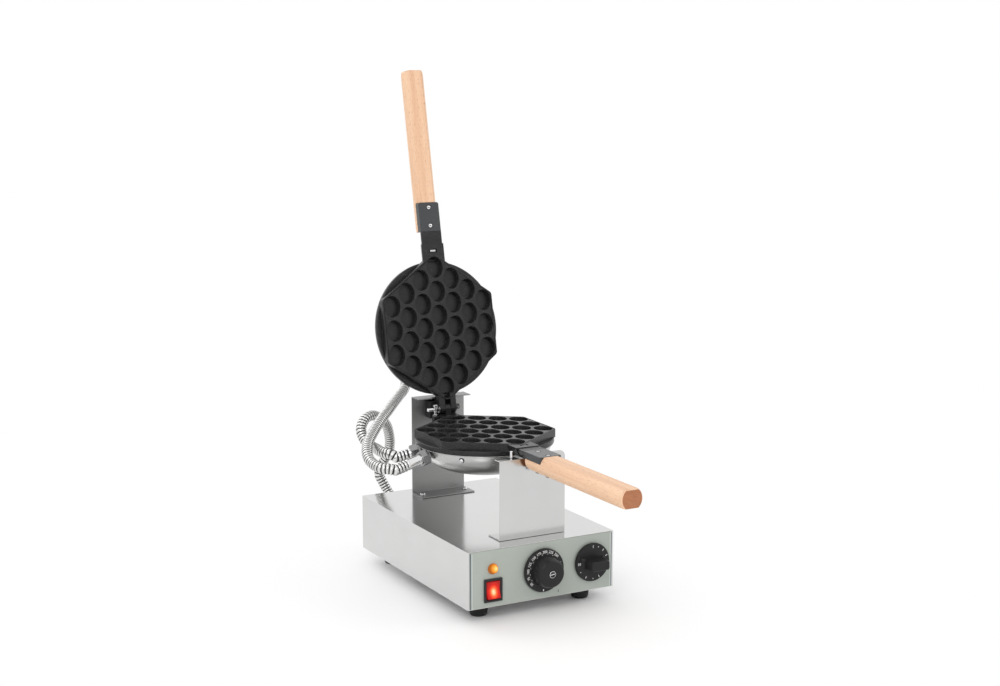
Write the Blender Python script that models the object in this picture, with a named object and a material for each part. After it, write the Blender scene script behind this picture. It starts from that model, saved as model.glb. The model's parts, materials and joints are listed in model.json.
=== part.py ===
"""Rotating bubble waffle maker: base box, two brackets, two hinged waffle pans and their conduits.

Metres, +Z up, front towards -Y. The pans' centre lies on X = 0, and every height is above the table.
A pan is drawn in its own frame: X across, Y to the rear from the plates' centre, and N away from the
parting plane between the two plates. The lower pan is the mirror image of that drawing.
"""

import bpy
import bmesh
from math import asin, atan, atan2, cos, floor, pi, radians, sin, sqrt
from mathutils import Matrix, Vector

# Clearances and cutters
FIT = 0.0003
RUNNING_FIT = 0.0005
OVERRUN = 0.004
TIGHT_MERGE = 0.000001
SCREW_HEAD_TOP_SHARE = 0.8

# Base box
FOOT_HEIGHT = 0.020
BASE_WIDTH = 0.232
BASE_DEPTH = 0.346
BASE_HEIGHT = 0.0815
BASE_SHEET = 0.0012
BASE_SETBACK = 0.0057

# Height of the turning axis, and the pans' hinge
AXIS_RISE = 0.1269
HINGE_OFFSET = 0.0215
HINGE_RISE = 0.008
LID_OPEN = radians(101.8)

# Plates: thirty oval bubbles in seven staggered columns
COLUMN_SPACING = 0.02555
HALF_ROW = 0.01823
COLUMN_ROWS = {0: 6, 1: 5, 2: 4, 3: 3}
BUBBLE_WIDTH = 0.0262
BUBBLE_LENGTH = 0.0318
BUBBLE_DEPTH = 0.012
BUBBLE_WALL_SHARES = ((1.0, 0.0), (0.94, 0.5), (0.73, 1.0))
BUBBLE_SIDES = 10
FACE_GAP = 0.001
PLATE_MARGIN = 0.00275
PLATE_SIDE_MARGIN = 0.01054
PLATE_CORNER_RADIUS = 0.0075
PLATE_END_RADIUS = 0.012
SKIRT_DEPTH = 0.0127
DISC_MARGIN = 0.0085
DISC_START = 0.011
DISC_BACK = 0.0178

# Neck, trunnion and tang of each casting
NECK_RADIUS = 0.0184
NECK_LENGTH = 0.026
NECK_DEPTH = 0.0175
TRUNNION_RADIUS = 0.0172
TRUNNION_LENGTH = 0.0196
TANG_WIDTH = 0.034
TANG_TOP = 0.0018
TANG_THICKNESS = 0.0097
TANG_LENGTH = 0.0434
TANG_CORNER = 0.003
NECK_SLOT_WIDTH = 0.013
NECK_SLOT_LENGTH = 0.0055
NECK_SLOT_DEPTH = 0.003
NECK_SLOT_INSET = 0.0105

# Hinge
LUG_BOSS_RADIUS = 0.007
CENTRE_LUG_WIDTH = 0.0084
SIDE_LUG_GAP = 0.0005
SIDE_LUG_WIDTH = 0.0093
YOKE_HALF_WIDTH = 0.015
YOKE_LENGTH = 0.0085
YOKE_DEPTH = 0.0145
LUG_ROOT_INSET = 0.001
HINGE_BOLT_RADIUS = 0.003
HINGE_BOLT_LEFT = 0.031
HINGE_HEAD_FLATS = 0.009
HINGE_HEAD_LENGTH = 0.0065
HINGE_NUT_LENGTH = 0.0042

# Rear pivot and its bearing block
PIVOT_RADIUS = 0.0042
PIVOT_FLANGE_RADIUS = 0.010
PIVOT_FLANGE = 0.002
PIVOT_REACH = 0.011
PIVOT_NUT_FLATS = 0.013
PIVOT_NUT_LENGTH = 0.0055
BLOCK_HALF_WIDTH = 0.022
BLOCK_GAP = 0.003
BLOCK_DEPTH = 0.017
BLOCK_LOW = 0.0085
BLOCK_HIGH = 0.018
BLOCK_SCREW_PLACE = 0.0165
BLOCK_SCREW_RADIUS = 0.0022
BLOCK_SCREW_HEAD = 0.0038
BLOCK_SCREW_HEAD_LENGTH = 0.0016
BLOCK_SCREW_DEPTH = 0.010

# Bowls under and over the plates
BOWL_SHEET = 0.0012
BOWL_RIM_INSET = 0.0005
BOWL_RIM_WIDTH = 0.0029
BOWL_DEPTH = 0.0415
BOWL_SIDE_POWER = 0.6
BOWL_DEPTH_POWER = 1.2
BOWL_STEPS = 7
BOWL_SIDES = 26
BOWL_SCREW_ANGLES = {"left": radians(222), "right": radians(42)}
BOWL_SCREW_LEVEL = 0.026
BOWL_SCREW_RADIUS = 0.0030
BOWL_SCREW_HEIGHT = 0.0022
BOWL_SCREW_TOP_SHARE = 0.75

# Heating element, probe and insulation inside each bowl
ELEMENT_RING_INSET = 0.039
ELEMENT_TUBE_RADIUS = 0.004
ELEMENT_SWEEP = radians(326)
ELEMENT_POINTS = 18
ELEMENT_TAIL = 0.010
PROBE_RADIUS = 0.003
PROBE_LENGTH = 0.055
INSULATION_THICKNESS = 0.011

# Wooden handles
HANDLE_GAP = 0.0007
HANDLE_LENGTH = 0.2447
HANDLE_HALF_WIDTH = 0.0169
HANDLE_FLAT_HALF = 0.0105
HANDLE_TOP = 0.0021
HANDLE_HEIGHT = 0.0252
HANDLE_CHAMFER = 0.0008
HANDLE_END_ROUND = 0.008
HANDLE_END_NARROWING = 0.00265
HANDLE_END_STEPS = 3
HANDLE_SCREW_OFFSETS = {"front": 0.0359, "rear": 0.0082}
HANDLE_SCREW_RADIUS = 0.002
HANDLE_SCREW_HEAD = 0.0033
HANDLE_SCREW_HEAD_DEPTH = 0.002
HANDLE_NUT_RADIUS = 0.0043
HANDLE_NUT_HEIGHT = 0.0055
HANDLE_NUT_SIDE_SHARE = 0.55
HANDLE_NUT_TOP_SHARE = 0.6

# Conduits and their glands
CONDUIT_RADIUS = 0.0080
CONDUIT_ROOT_SHARE = 0.84
CONDUIT_BORE_RADIUS = 0.0052
CONDUIT_RIB_PITCH = 0.0062
CONDUIT_STRAIGHT = 0.016
GLAND_STUB_RADIUS = 0.0065
GLAND_STUB_LENGTH = 0.007
GLAND_BORE_RADIUS = 0.0050
GLAND_FLATS = 0.0205
GLAND_NUT_LENGTH = 0.0115
GLAND_COLLAR_RADIUS = 0.0078
GLAND_COLLAR_LENGTH = 0.003
GLAND_SLEEVE_RADIUS = 0.0077
GLAND_SLEEVE_LENGTH = 0.024
GLAND_SEAT = 0.0006
GLAND_WALL_RADIUS = 0.0975
GLAND_LEAN_SHARE = 0.25
LINK_GLAND_ANGLE = radians(185)
LINK_GLAND_LEVEL = 0.0285
FEED_GLAND_ANGLE = radians(164)
FEED_GLAND_LEVEL = 0.0285
LID_GLAND_X = -0.012
LID_GLAND_Y = 0.015
BASE_GLAND_X = -0.045
BASE_GLAND_RISE = 0.0565

# Routes of the two conduits between their straight ends, chosen by hand (plates' centre, table)
LINK_ROUTE = ((-0.1563, -0.0090, 0.1883), (-0.1647, -0.0005, 0.1886), (-0.1680, 0.0110, 0.1897),
              (-0.1690, 0.0210, 0.1911), (-0.1695, 0.0330, 0.1949), (-0.1666, 0.0460, 0.2008),
              (-0.1596, 0.0610, 0.2064), (-0.1495, 0.0770, 0.2114), (-0.1371, 0.0930, 0.2162),
              (-0.1245, 0.1080, 0.2211), (-0.1115, 0.1220, 0.2264), (-0.0995, 0.1350, 0.2309),
              (-0.0846, 0.1500, 0.2358), (-0.0680, 0.1660, 0.2428), (-0.0512, 0.1820, 0.2494),
              (-0.0350, 0.1960, 0.2571), (-0.0250, 0.2130, 0.2670), (-0.0180, 0.2300, 0.2785),
              (-0.0140, 0.2410, 0.2915), (-0.0125, 0.2435, 0.3045), (-0.0120, 0.2375, 0.3160))
FEED_ROUTE = ((-0.0462, 0.2230, 0.0801), (-0.0492, 0.2325, 0.0893), (-0.0545, 0.2368, 0.1013),
              (-0.0606, 0.2375, 0.1170), (-0.0563, 0.2300, 0.1375), (-0.0523, 0.2210, 0.1512),
              (-0.0538, 0.2120, 0.1656), (-0.0578, 0.2030, 0.1800), (-0.0672, 0.1910, 0.2006),
              (-0.0794, 0.1810, 0.2145), (-0.0946, 0.1700, 0.2243), (-0.1082, 0.1600, 0.2288),
              (-0.1213, 0.1510, 0.2274), (-0.1309, 0.1430, 0.2204), (-0.1356, 0.1360, 0.2130),
              (-0.1363, 0.1280, 0.2053), (-0.1354, 0.1180, 0.1989), (-0.1334, 0.1060, 0.1959),
              (-0.1340, 0.0840, 0.1957), (-0.1365, 0.0660, 0.1960), (-0.1355, 0.0530, 0.1962),
              (-0.1305, 0.0415, 0.1960))

# Brackets of bent sheet on the base's top
BRACKET_SHEET = 0.0015
REAR_BRACKET_WIDTH = 0.0888
REAR_BRACKET_RISE = 0.0241
REAR_BRACKET_FOOT = 0.035
REAR_BRACKET_LIP = 0.022
REAR_BRACKET_NOTCH_HALF = 0.020
REAR_BRACKET_NOTCH_MARGIN = 0.001
FRONT_BRACKET_WIDTH = 0.104
FRONT_BRACKET_OFFSET = 0.0135
FRONT_BRACKET_DROP = 0.0137
FRONT_BRACKET_EAR_DROP = 0.0081
FRONT_BRACKET_EAR_RADIUS = 0.009
FRONT_BRACKET_FOOT = 0.0333
FRONT_BRACKET_LIP = 0.0155
FRONT_BRACKET_LIP_END = 0.020
BRACKET_SCREW_X = 0.036
BRACKET_SCREW_INSET = 0.018
BRACKET_SCREW_RADIUS = 0.002
BRACKET_SCREW_HEAD = 0.0042
BRACKET_SCREW_HEAD_HEIGHT = 0.0022
BRACKET_SCREW_REACH = 0.007
STOP_PIN_X = 0.028
STOP_PIN_SETBACK = 0.0105
STOP_PIN_RADIUS = 0.00215
STOP_PIN_RISE = 0.0097

# Feet
FOOT_INSET = 0.034
FOOT_TOP_RADIUS = 0.0135
FOOT_BOTTOM_RADIUS = 0.0115
FOOT_RECESS_RADIUS = 0.006
FOOT_RECESS_DEPTH = 0.008
FOOT_STUD_RADIUS = 0.004
FOOT_STUD_REACH = 0.006

# Front panel and controls
PANEL_SIDE_MARGIN = 0.003
PANEL_EDGE_MARGIN = 0.0009
PANEL_SHEET = 0.001
CONTROL_LINE_RISE = 0.0418
THERMOSTAT_X = 0.0
TIMER_INSET = 0.0375
LAMP_INSET = 0.0375
LAMP_RISE = 0.0545
SWITCH_RISE = 0.0245
KNOB_GAP = 0.001
THERMOSTAT_DIAL_RADIUS = 0.031
THERMOSTAT_DIAL_THICKNESS = 0.006
THERMOSTAT_CAP_RADIUS = 0.0212
THERMOSTAT_CAP_TOP_RADIUS = 0.0178
THERMOSTAT_CAP_REACH = 0.027
KNOB_EDGE = 0.0012
KNOB_INSERT_RADIUS = 0.0045
KNOB_INSERT_DEPTH = 0.002
KNOB_INSERT_PROUD = 0.0006
KNOB_SOCKET_DEPTH = 0.012
TIMER_DIAL_RADIUS = 0.0275
TIMER_DIAL_THICKNESS = 0.005
TIMER_GRIP_LENGTH = 0.029
TIMER_GRIP_WIDTH = 0.0135
TIMER_GRIP_ROOT_LENGTH = 0.050
TIMER_GRIP_ROOT_WIDTH = 0.020
TIMER_GRIP_SHOULDER = 0.010
TIMER_GRIP_REACH = 0.027
SPINDLE_RADIUS = 0.003
SPINDLE_HOLE_RADIUS = 0.005
SPINDLE_SOCKET_DEPTH = 0.006
THERMOSTAT_BODY_SIZE = (0.036, 0.028, 0.046)
TIMER_BODY_RADIUS = 0.023
TIMER_BODY_DEPTH = 0.032
SWITCH_WIDTH = 0.0280
SWITCH_FACE_HEIGHT = 0.0330
SWITCH_BEZEL = 0.0025
SWITCH_BODY_WIDTH = 0.0235
SWITCH_BODY_HEIGHT = 0.0285
SWITCH_BODY_DEPTH = 0.026
ROCKER_WIDTH = 0.0200
ROCKER_HEIGHT = 0.0238
ROCKER_PIVOT_DEPTH = 0.0035
ROCKER_CREST = 0.0046
ROCKER_VALLEY = 0.0028
ROCKER_BACK = 0.0035
ROCKER_BACK_SHARE = 0.9
ROCKER_SIDE_GAP = 0.0005
ROCKER_END_GAP = 0.0012
ROCKER_POCKET_DEPTH = 0.0105
ROCKER_TILT = radians(7)
LAMP_DOME_RADIUS = 0.0066
LAMP_DOME_REACH = 0.0068
LAMP_FLANGE_RADIUS = 0.0075
LAMP_FLANGE = 0.0014
LAMP_STUB_RADIUS = 0.004
LAMP_STUB_LENGTH = 0.0085
LAMP_HOLDER_RADIUS = 0.0068
LAMP_HOLDER_LENGTH = 0.022

# Wiring parts in the base
TERMINAL_SIZE = (0.060, 0.022, 0.018)
TERMINAL_CENTRE_Y = 0.090
MAINS_GLAND_INSET = 0.054
MAINS_GLAND_RISE = 0.0300
MAINS_GLAND_FLATS = 0.019
MAINS_GLAND_NUT_LENGTH = 0.006
MAINS_GLAND_DOME_LENGTH = 0.012
MAINS_GLAND_DOME_RADIUS = 0.0075
MAINS_GLAND_STUB_RADIUS = 0.0075
MAINS_GLAND_BORE_RADIUS = 0.004

# Values that follow from the sizes above
BASE_TOP = FOOT_HEIGHT + BASE_HEIGHT
AXIS_HEIGHT = BASE_TOP + AXIS_RISE
CONTROL_LINE_HEIGHT = FOOT_HEIGHT + CONTROL_LINE_RISE
LAMP_HEIGHT = FOOT_HEIGHT + LAMP_RISE
SWITCH_HEIGHT = FOOT_HEIGHT + SWITCH_RISE
BASE_GLAND_HEIGHT = FOOT_HEIGHT + BASE_GLAND_RISE
MAINS_GLAND_HEIGHT = FOOT_HEIGHT + MAINS_GLAND_RISE
TIMER_X = BASE_WIDTH / 2 - TIMER_INSET
LAMP_X = LAMP_INSET - BASE_WIDTH / 2
MAINS_GLAND_X = BASE_WIDTH / 2 - MAINS_GLAND_INSET
BASE_FRONT = BASE_SETBACK - BASE_DEPTH / 2
BASE_REAR = BASE_SETBACK + BASE_DEPTH / 2
PANEL_BACK = BASE_FRONT - FIT
PANEL_FACE = PANEL_BACK - PANEL_SHEET
WALL_INSIDE = BASE_FRONT + BASE_SHEET
FACE = FACE_GAP / 2
PLATE_HALF_WIDTH = 3 * COLUMN_SPACING + BUBBLE_WIDTH / 2 + PLATE_MARGIN
PLATE_SIDE_HALF = 2 * HALF_ROW + PLATE_SIDE_MARGIN
DISC_RADIUS = PLATE_HALF_WIDTH + DISC_MARGIN
BOWL_RIM_RADIUS = DISC_RADIUS - BOWL_RIM_INSET
BOWL_TOP_RADIUS = BOWL_RIM_RADIUS - BOWL_RIM_WIDTH
ELEMENT_RING_RADIUS = DISC_RADIUS - ELEMENT_RING_INSET
PLATE_END = PLATE_SIDE_HALF + PLATE_HALF_WIDTH * HALF_ROW / COLUMN_SPACING
HINGE_SETBACK = DISC_RADIUS + HINGE_OFFSET
LUG_ROOT = DISC_RADIUS - LUG_ROOT_INSET
YOKE_END = HINGE_SETBACK + YOKE_LENGTH
BLOCK_START = YOKE_END + BLOCK_GAP
REAR_BRACKET_PLACE = BLOCK_START + BLOCK_DEPTH
REAR_BRACKET_NOTCH_END = BLOCK_START + REAR_BRACKET_NOTCH_MARGIN
PIVOT_END = REAR_BRACKET_PLACE + PIVOT_REACH
NECK_END = DISC_RADIUS + NECK_LENGTH
NECK_SLOT_PLACE = NECK_END - NECK_SLOT_INSET
FRONT_BRACKET_PLACE = NECK_END + FRONT_BRACKET_OFFSET
TRUNNION_END = NECK_END + TRUNNION_LENGTH
TANG_END = TRUNNION_END + TANG_LENGTH
HANDLE_START = TRUNNION_END + HANDLE_GAP
HANDLE_END = HANDLE_START + HANDLE_LENGTH
HANDLE_BOTTOM = HANDLE_TOP + HANDLE_HEIGHT
TANG_BOTTOM = TANG_TOP + TANG_THICKNESS
BOWL_RIM_LEVEL = DISC_BACK + FIT
BOWL_BOTTOM = BOWL_RIM_LEVEL + BOWL_DEPTH
GLAND_LEAN = atan(GLAND_LEAN_SHARE)
LID_TIP_BEHIND = (HINGE_SETBACK - cos(LID_OPEN) * (HINGE_SETBACK + HANDLE_END)
                  + sin(LID_OPEN) * (HANDLE_BOTTOM - HINGE_RISE))
ORIGIN_SHIFT = (HANDLE_END - LID_TIP_BEHIND) / 2


def clear_scene():
    for item in list(bpy.data.objects):
        bpy.data.objects.remove(item, do_unlink=True)


def make_material(name, colour, roughness, metallic):
    made = bpy.data.materials.new(name)
    made.use_nodes = True
    shader = made.node_tree.nodes["Principled BSDF"]
    shader.inputs["Base Color"].default_value = (*colour, 1.0)
    shader.inputs["Roughness"].default_value = roughness
    shader.inputs["Metallic"].default_value = metallic
    made.diffuse_color = (*colour, 1.0)
    return made


def make_empty(name, parent=None, location=(0, 0, 0), turn_x=0.0):
    empty = bpy.data.objects.new(name, None)
    empty.location = location
    empty.rotation_euler = (turn_x, 0, 0)
    empty.parent = parent
    bpy.context.scene.collection.objects.link(empty)
    return empty


def make_object(name, bm, material, parent, location=(0, 0, 0), mirrored=False, guide=False):
    """Turn a bmesh into a named object with outward faces, mirrored in Z where asked."""
    if mirrored:
        bmesh.ops.transform(bm, matrix=Matrix.Diagonal((1, 1, -1, 1)), verts=bm.verts)
    bmesh.ops.remove_doubles(bm, verts=bm.verts, dist=TIGHT_MERGE)
    bmesh.ops.recalc_face_normals(bm, faces=bm.faces)
    mesh = bpy.data.meshes.new(name)
    bm.to_mesh(mesh)
    bm.free()
    mesh.shade_smooth()
    mesh.set_sharp_from_angle(angle=radians(35))
    made = bpy.data.objects.new(name, mesh)
    if material is not None:
        mesh.materials.append(material)
    made.location = location
    made.parent = parent
    if guide:
        made.hide_render = True
        made.display_type = "WIRE"
    bpy.context.scene.collection.objects.link(made)
    return made


def combine(target, name, bm, operation, mirrored=False):
    """Cut a shape from an object, or join it on, with a Boolean modifier in the object's own frame."""
    tool = make_object(f"{target.name}.{name}", bm, None, target.parent, target.location, mirrored, True)
    step = target.modifiers.new(name, "BOOLEAN")
    step.object = tool
    step.operation = operation
    step.solver = "EXACT"
    return target


def cut(target, name, bm, mirrored=False):
    return combine(target, name, bm, "DIFFERENCE", mirrored)


def join(target, name, bm, mirrored=False):
    return combine(target, name, bm, "UNION", mirrored)


def skin(rings, closed=False, bm=None):
    """Join rings of points, each with as many points, into one closed body with flat ends."""
    bm = bm or bmesh.new()
    loops = [[bm.verts.new(point) for point in ring] for ring in rings]
    following = loops[1:] + (loops[:1] if closed else [])
    for first, second in zip(loops, following):
        count = len(first)
        for index in range(count):
            after = (index + 1) % count
            bm.faces.new((first[index], first[after], second[after], second[index]))
    if not closed:
        bm.faces.new(list(reversed(loops[0])))
        bm.faces.new(loops[-1])
    return bm


def circle(radius, sides):
    return [(radius * cos(2 * pi * i / sides), radius * sin(2 * pi * i / sides)) for i in range(sides)]


def hexagon(across_flats, sides=12):
    """Points of a hexagon at even angles, a flat facing X, to be joined to a circle of as many points."""
    points = []
    for i in range(sides):
        angle = 2 * pi * i / sides
        off = angle - floor(angle / (pi / 3) + 0.5) * pi / 3
        reach = across_flats / 2 / cos(off)
        points.append((reach * cos(angle), reach * sin(angle)))
    return points


def stack(levels, closed=False, bm=None):
    """A body turned or milled about Z: each level is an outline and its height."""
    return skin([[(x, y, height) for x, y in outline] for outline, height in levels], closed, bm)


def rounded(corners, radii, steps):
    """A polygon whose corners are replaced by arcs of the radii given."""
    points = []
    for index, corner in enumerate(corners):
        here = Vector(corner)
        before = (Vector(corners[index - 1]) - here).normalized()
        after = (Vector(corners[(index + 1) % len(corners)]) - here).normalized()
        radius = radii[index]
        if radius == 0:
            points.append(tuple(here))
            continue
        half = before.angle(after) / 2
        centre = here + (before + after).normalized() * radius / sin(half)
        start = here + before * radius * cos(half) / sin(half) - centre
        end = here + after * radius * cos(half) / sin(half) - centre
        first, last = atan2(start.y, start.x), atan2(end.y, end.x)
        sweep = (last - first + pi) % (2 * pi) - pi
        for step in range(steps + 1):
            angle = first + sweep * step / steps
            points.append((centre.x + radius * cos(angle), centre.y + radius * sin(angle)))
    return points


def block(low, high, bm=None):
    """A box between two opposite corners."""
    outline = [(low[0], low[1]), (high[0], low[1]), (high[0], high[1]), (low[0], high[1])]
    return stack([(outline, low[2]), (outline, high[2])], bm=bm)


def along_x(outline, start, end, bm=None):
    """An outline in Y and Z, carried from one X to another."""
    return skin([[(x, y, z) for y, z in outline] for x in (start, end)], bm=bm)


def along_y(outline, start, end, bm=None):
    """An outline in X and Z, carried from one Y to another."""
    return skin([[(x, y, z) for x, z in outline] for y in (start, end)], bm=bm)


def turned(profile, sides):
    """A profile of radius and height, spun about Z. It is closed, or ends on the axis."""
    bm = bmesh.new()
    verts = [bm.verts.new((radius, 0, height)) for radius, height in profile]
    edges = [bm.edges.new(pair) for pair in zip(verts, verts[1:])]
    if profile[0][0] > 0 or profile[-1][0] > 0:
        edges.append(bm.edges.new((verts[-1], verts[0])))
    bmesh.ops.spin(bm, geom=verts + edges, cent=(0, 0, 0), axis=(0, 0, 1), angle=2 * pi,
                   steps=sides, use_merge=True, use_duplicate=False)
    bmesh.ops.remove_doubles(bm, verts=bm.verts, dist=TIGHT_MERGE)
    return bm


def aim(bm, origin, direction):
    """Turn a body drawn about +Z so that it starts at origin and points along direction."""
    turn = Vector((0, 0, 1)).rotation_difference(Vector(direction)).to_matrix().to_4x4()
    bmesh.ops.transform(bm, matrix=Matrix.Translation(origin) @ turn, verts=bm.verts)
    return bm


def merge(bodies):
    """Several separate solids in one bmesh, for a set of like fasteners."""
    whole = bmesh.new()
    for body in bodies:
        passing = bpy.data.meshes.new("passing")
        body.to_mesh(passing)
        body.free()
        whole.from_mesh(passing)
        bpy.data.meshes.remove(passing)
    return whole


def pin(radius, start, end, sides=12):
    return stack([(circle(radius, sides), start), (circle(radius, sides), end)])


def screw(shank, head, head_height, reach, sides=8):
    """A screw about Z, its head's underside at 0 and its shank going down."""
    return stack([(circle(shank, sides), -reach), (circle(shank, sides), 0), (circle(head, sides), 0),
                  (circle(head, sides), head_height / 2),
                  (circle(head * SCREW_HEAD_TOP_SHARE, sides), head_height)])


def base_shell(parent, steel):
    half = BASE_WIDTH / 2
    shell = make_object("base_shell", block((-half, BASE_FRONT, FOOT_HEIGHT), (half, BASE_REAR, BASE_TOP)),
                        steel, parent)
    cut(shell, "inside", block((BASE_SHEET - half, BASE_FRONT + BASE_SHEET, FOOT_HEIGHT - OVERRUN),
                               (half - BASE_SHEET, BASE_REAR - BASE_SHEET, BASE_TOP - BASE_SHEET)))
    cut(shell, "front_openings", control_openings(BASE_FRONT))
    rear = []
    for x, height, radius in ((BASE_GLAND_X, BASE_GLAND_HEIGHT, GLAND_STUB_RADIUS),
                              (MAINS_GLAND_X, MAINS_GLAND_HEIGHT, MAINS_GLAND_STUB_RADIUS)):
        hole = pin(radius + RUNNING_FIT, -OVERRUN, OVERRUN)
        rear.append(aim(hole, (x, BASE_REAR, height), (0, 1, 0)))
    cut(shell, "rear_openings", merge(rear))
    holes = [aim(pin(BRACKET_SCREW_RADIUS + FIT, -OVERRUN, OVERRUN, 8), (x, y, BASE_TOP), (0, 0, 1))
             for x, y in bracket_screw_places().values()]
    cut(shell, "screw_holes", merge(holes))


def control_openings(face):
    """Holes for the spindles and the lamp, and the switch's cut-out, through a sheet at this Y."""
    bodies = []
    for x, height, radius in ((THERMOSTAT_X, CONTROL_LINE_HEIGHT, SPINDLE_HOLE_RADIUS),
                              (TIMER_X, CONTROL_LINE_HEIGHT, SPINDLE_HOLE_RADIUS),
                              (LAMP_X, LAMP_HEIGHT, LAMP_STUB_RADIUS + FIT)):
        bodies.append(aim(pin(radius, -OVERRUN, OVERRUN), (x, face, height), (0, 1, 0)))
    half_width = SWITCH_BODY_WIDTH / 2 + FIT
    half_height = SWITCH_BODY_HEIGHT / 2 + FIT
    bodies.append(block((LAMP_X - half_width, face - OVERRUN, SWITCH_HEIGHT - half_height),
                        (LAMP_X + half_width, face + OVERRUN, SWITCH_HEIGHT + half_height)))
    return merge(bodies)


def bottom_plate(parent, steel):
    edge = BASE_WIDTH / 2 - BASE_SHEET - FIT
    plate = make_object("bottom_plate",
                        block((-edge, WALL_INSIDE + FIT, FOOT_HEIGHT),
                              (edge, BASE_REAR - BASE_SHEET - FIT, FOOT_HEIGHT + BASE_SHEET)),
                        steel, parent)
    holes = [aim(pin(FOOT_STUD_RADIUS + FIT, -OVERRUN, OVERRUN), (x, y, FOOT_HEIGHT), (0, 0, 1))
             for x, y in foot_places().values()]
    cut(plate, "stud_holes", merge(holes))


def front_panel(parent, overlay):
    half = BASE_WIDTH / 2 - PANEL_SIDE_MARGIN
    panel = make_object("front_panel",
                        block((-half, PANEL_FACE, FOOT_HEIGHT + PANEL_EDGE_MARGIN),
                              (half, PANEL_BACK, BASE_TOP - PANEL_EDGE_MARGIN)), overlay, parent)
    cut(panel, "openings", control_openings(PANEL_FACE))


def foot_places():
    x = BASE_WIDTH / 2 - FOOT_INSET
    front, rear = BASE_FRONT + FOOT_INSET, BASE_REAR - FOOT_INSET
    return {"front_left": (-x, front), "front_right": (x, front),
            "rear_left": (-x, rear), "rear_right": (x, rear)}


def feet(parent, rubber):
    """Tapered rubber feet, hollow below, each with a moulded stud through the bottom plate."""
    top = FOOT_HEIGHT - FIT
    profile = ((0, FOOT_RECESS_DEPTH), (FOOT_RECESS_RADIUS, FOOT_RECESS_DEPTH), (FOOT_RECESS_RADIUS, 0),
               (FOOT_BOTTOM_RADIUS, 0), (FOOT_TOP_RADIUS, top), (FOOT_STUD_RADIUS, top),
               (FOOT_STUD_RADIUS, FOOT_HEIGHT + FOOT_STUD_REACH), (0, FOOT_HEIGHT + FOOT_STUD_REACH))
    for corner, (x, y) in foot_places().items():
        make_object(f"foot_{corner}", turned(profile, 12), rubber, parent, (x, y, 0))


def bracket_screw_places():
    rows = {"rear": REAR_BRACKET_PLACE - BRACKET_SCREW_INSET,
            "front": BRACKET_SCREW_INSET - FRONT_BRACKET_PLACE}
    sides = {"left": -BRACKET_SCREW_X, "right": BRACKET_SCREW_X}
    return {f"{row}_{side}": (x, y) for row, y in rows.items() for side, x in sides.items()}


def rear_bracket(parent, steel):
    """A C of sheet: foot and lip both point to the front, and the lip is notched for the hinge lugs."""
    inner = REAR_BRACKET_PLACE
    outer = inner + BRACKET_SHEET
    foot = inner - REAR_BRACKET_FOOT
    lip = inner - REAR_BRACKET_LIP
    low = BASE_TOP + FIT
    high = AXIS_HEIGHT + REAR_BRACKET_RISE
    outline = [(foot, low), (outer, low), (outer, high), (lip, high), (lip, high - BRACKET_SHEET),
               (inner, high - BRACKET_SHEET), (inner, low + BRACKET_SHEET), (foot, low + BRACKET_SHEET)]
    half = REAR_BRACKET_WIDTH / 2
    bracket = make_object("rear_bracket", along_x(outline, -half, half), steel, parent)
    holes = [aim(pin(PIVOT_RADIUS + RUNNING_FIT, -OVERRUN, OVERRUN), (0, inner, AXIS_HEIGHT), (0, 1, 0))]
    for x in (-BLOCK_SCREW_PLACE, BLOCK_SCREW_PLACE):
        hole = pin(BLOCK_SCREW_RADIUS + FIT, -OVERRUN, OVERRUN, 8)
        holes.append(aim(hole, (x, inner, block_middle()), (0, 1, 0)))
    holes += bracket_foot_holes(low, 1)
    cut(bracket, "holes", merge(holes))
    notch = block((-REAR_BRACKET_NOTCH_HALF, lip - OVERRUN, high - BRACKET_SHEET - OVERRUN),
                  (REAR_BRACKET_NOTCH_HALF, REAR_BRACKET_NOTCH_END, high + OVERRUN))
    cut(bracket, "lug_notch", notch)


def bracket_foot_holes(low, side):
    return [aim(pin(BRACKET_SCREW_RADIUS + FIT, -OVERRUN, OVERRUN, 8), (x, y, low), (0, 0, 1))
            for x, y in bracket_screw_places().values() if y * side > 0]


def block_middle():
    return AXIS_HEIGHT + (BLOCK_HIGH - BLOCK_LOW) / 2


def front_bracket(parent, steel):
    """A sheet with its foot to the rear, a lip on its left, a round seat in the middle and an ear."""
    front = -FRONT_BRACKET_PLACE
    back = front + BRACKET_SHEET
    half = FRONT_BRACKET_WIDTH / 2
    low = BASE_TOP + FIT
    top = AXIS_HEIGHT - FRONT_BRACKET_DROP
    ear = AXIS_HEIGHT - FRONT_BRACKET_EAR_DROP
    corners = [(-half, low), (half, low), (half, ear), (0, ear), (0, top), (-half, top)]
    outline = rounded(corners, [0, 0, FRONT_BRACKET_EAR_RADIUS, 0, 0, 0], 5)
    bracket = make_object("front_bracket", along_y(outline, front, back), steel, parent)
    join(bracket, "foot", block((-half, back - BRACKET_SHEET / 2, low),
                                (half, front + FRONT_BRACKET_FOOT, low + BRACKET_SHEET)))
    join(bracket, "lip", block((-half, back - BRACKET_SHEET / 2, top - BRACKET_SHEET),
                               (-FRONT_BRACKET_LIP_END, front + FRONT_BRACKET_LIP, top)))
    seat = pin(TRUNNION_RADIUS + FIT, -OVERRUN, OVERRUN, 32)
    cut(bracket, "seat", aim(seat, (0, back, AXIS_HEIGHT), (0, 1, 0)))
    cut(bracket, "screw_holes", merge(bracket_foot_holes(low, -1)))
    rod = pin(STOP_PIN_RADIUS, top + FIT, top + STOP_PIN_RISE)
    make_object("stop_pin", rod, steel, parent, (-STOP_PIN_X, front + STOP_PIN_SETBACK, 0))


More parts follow.
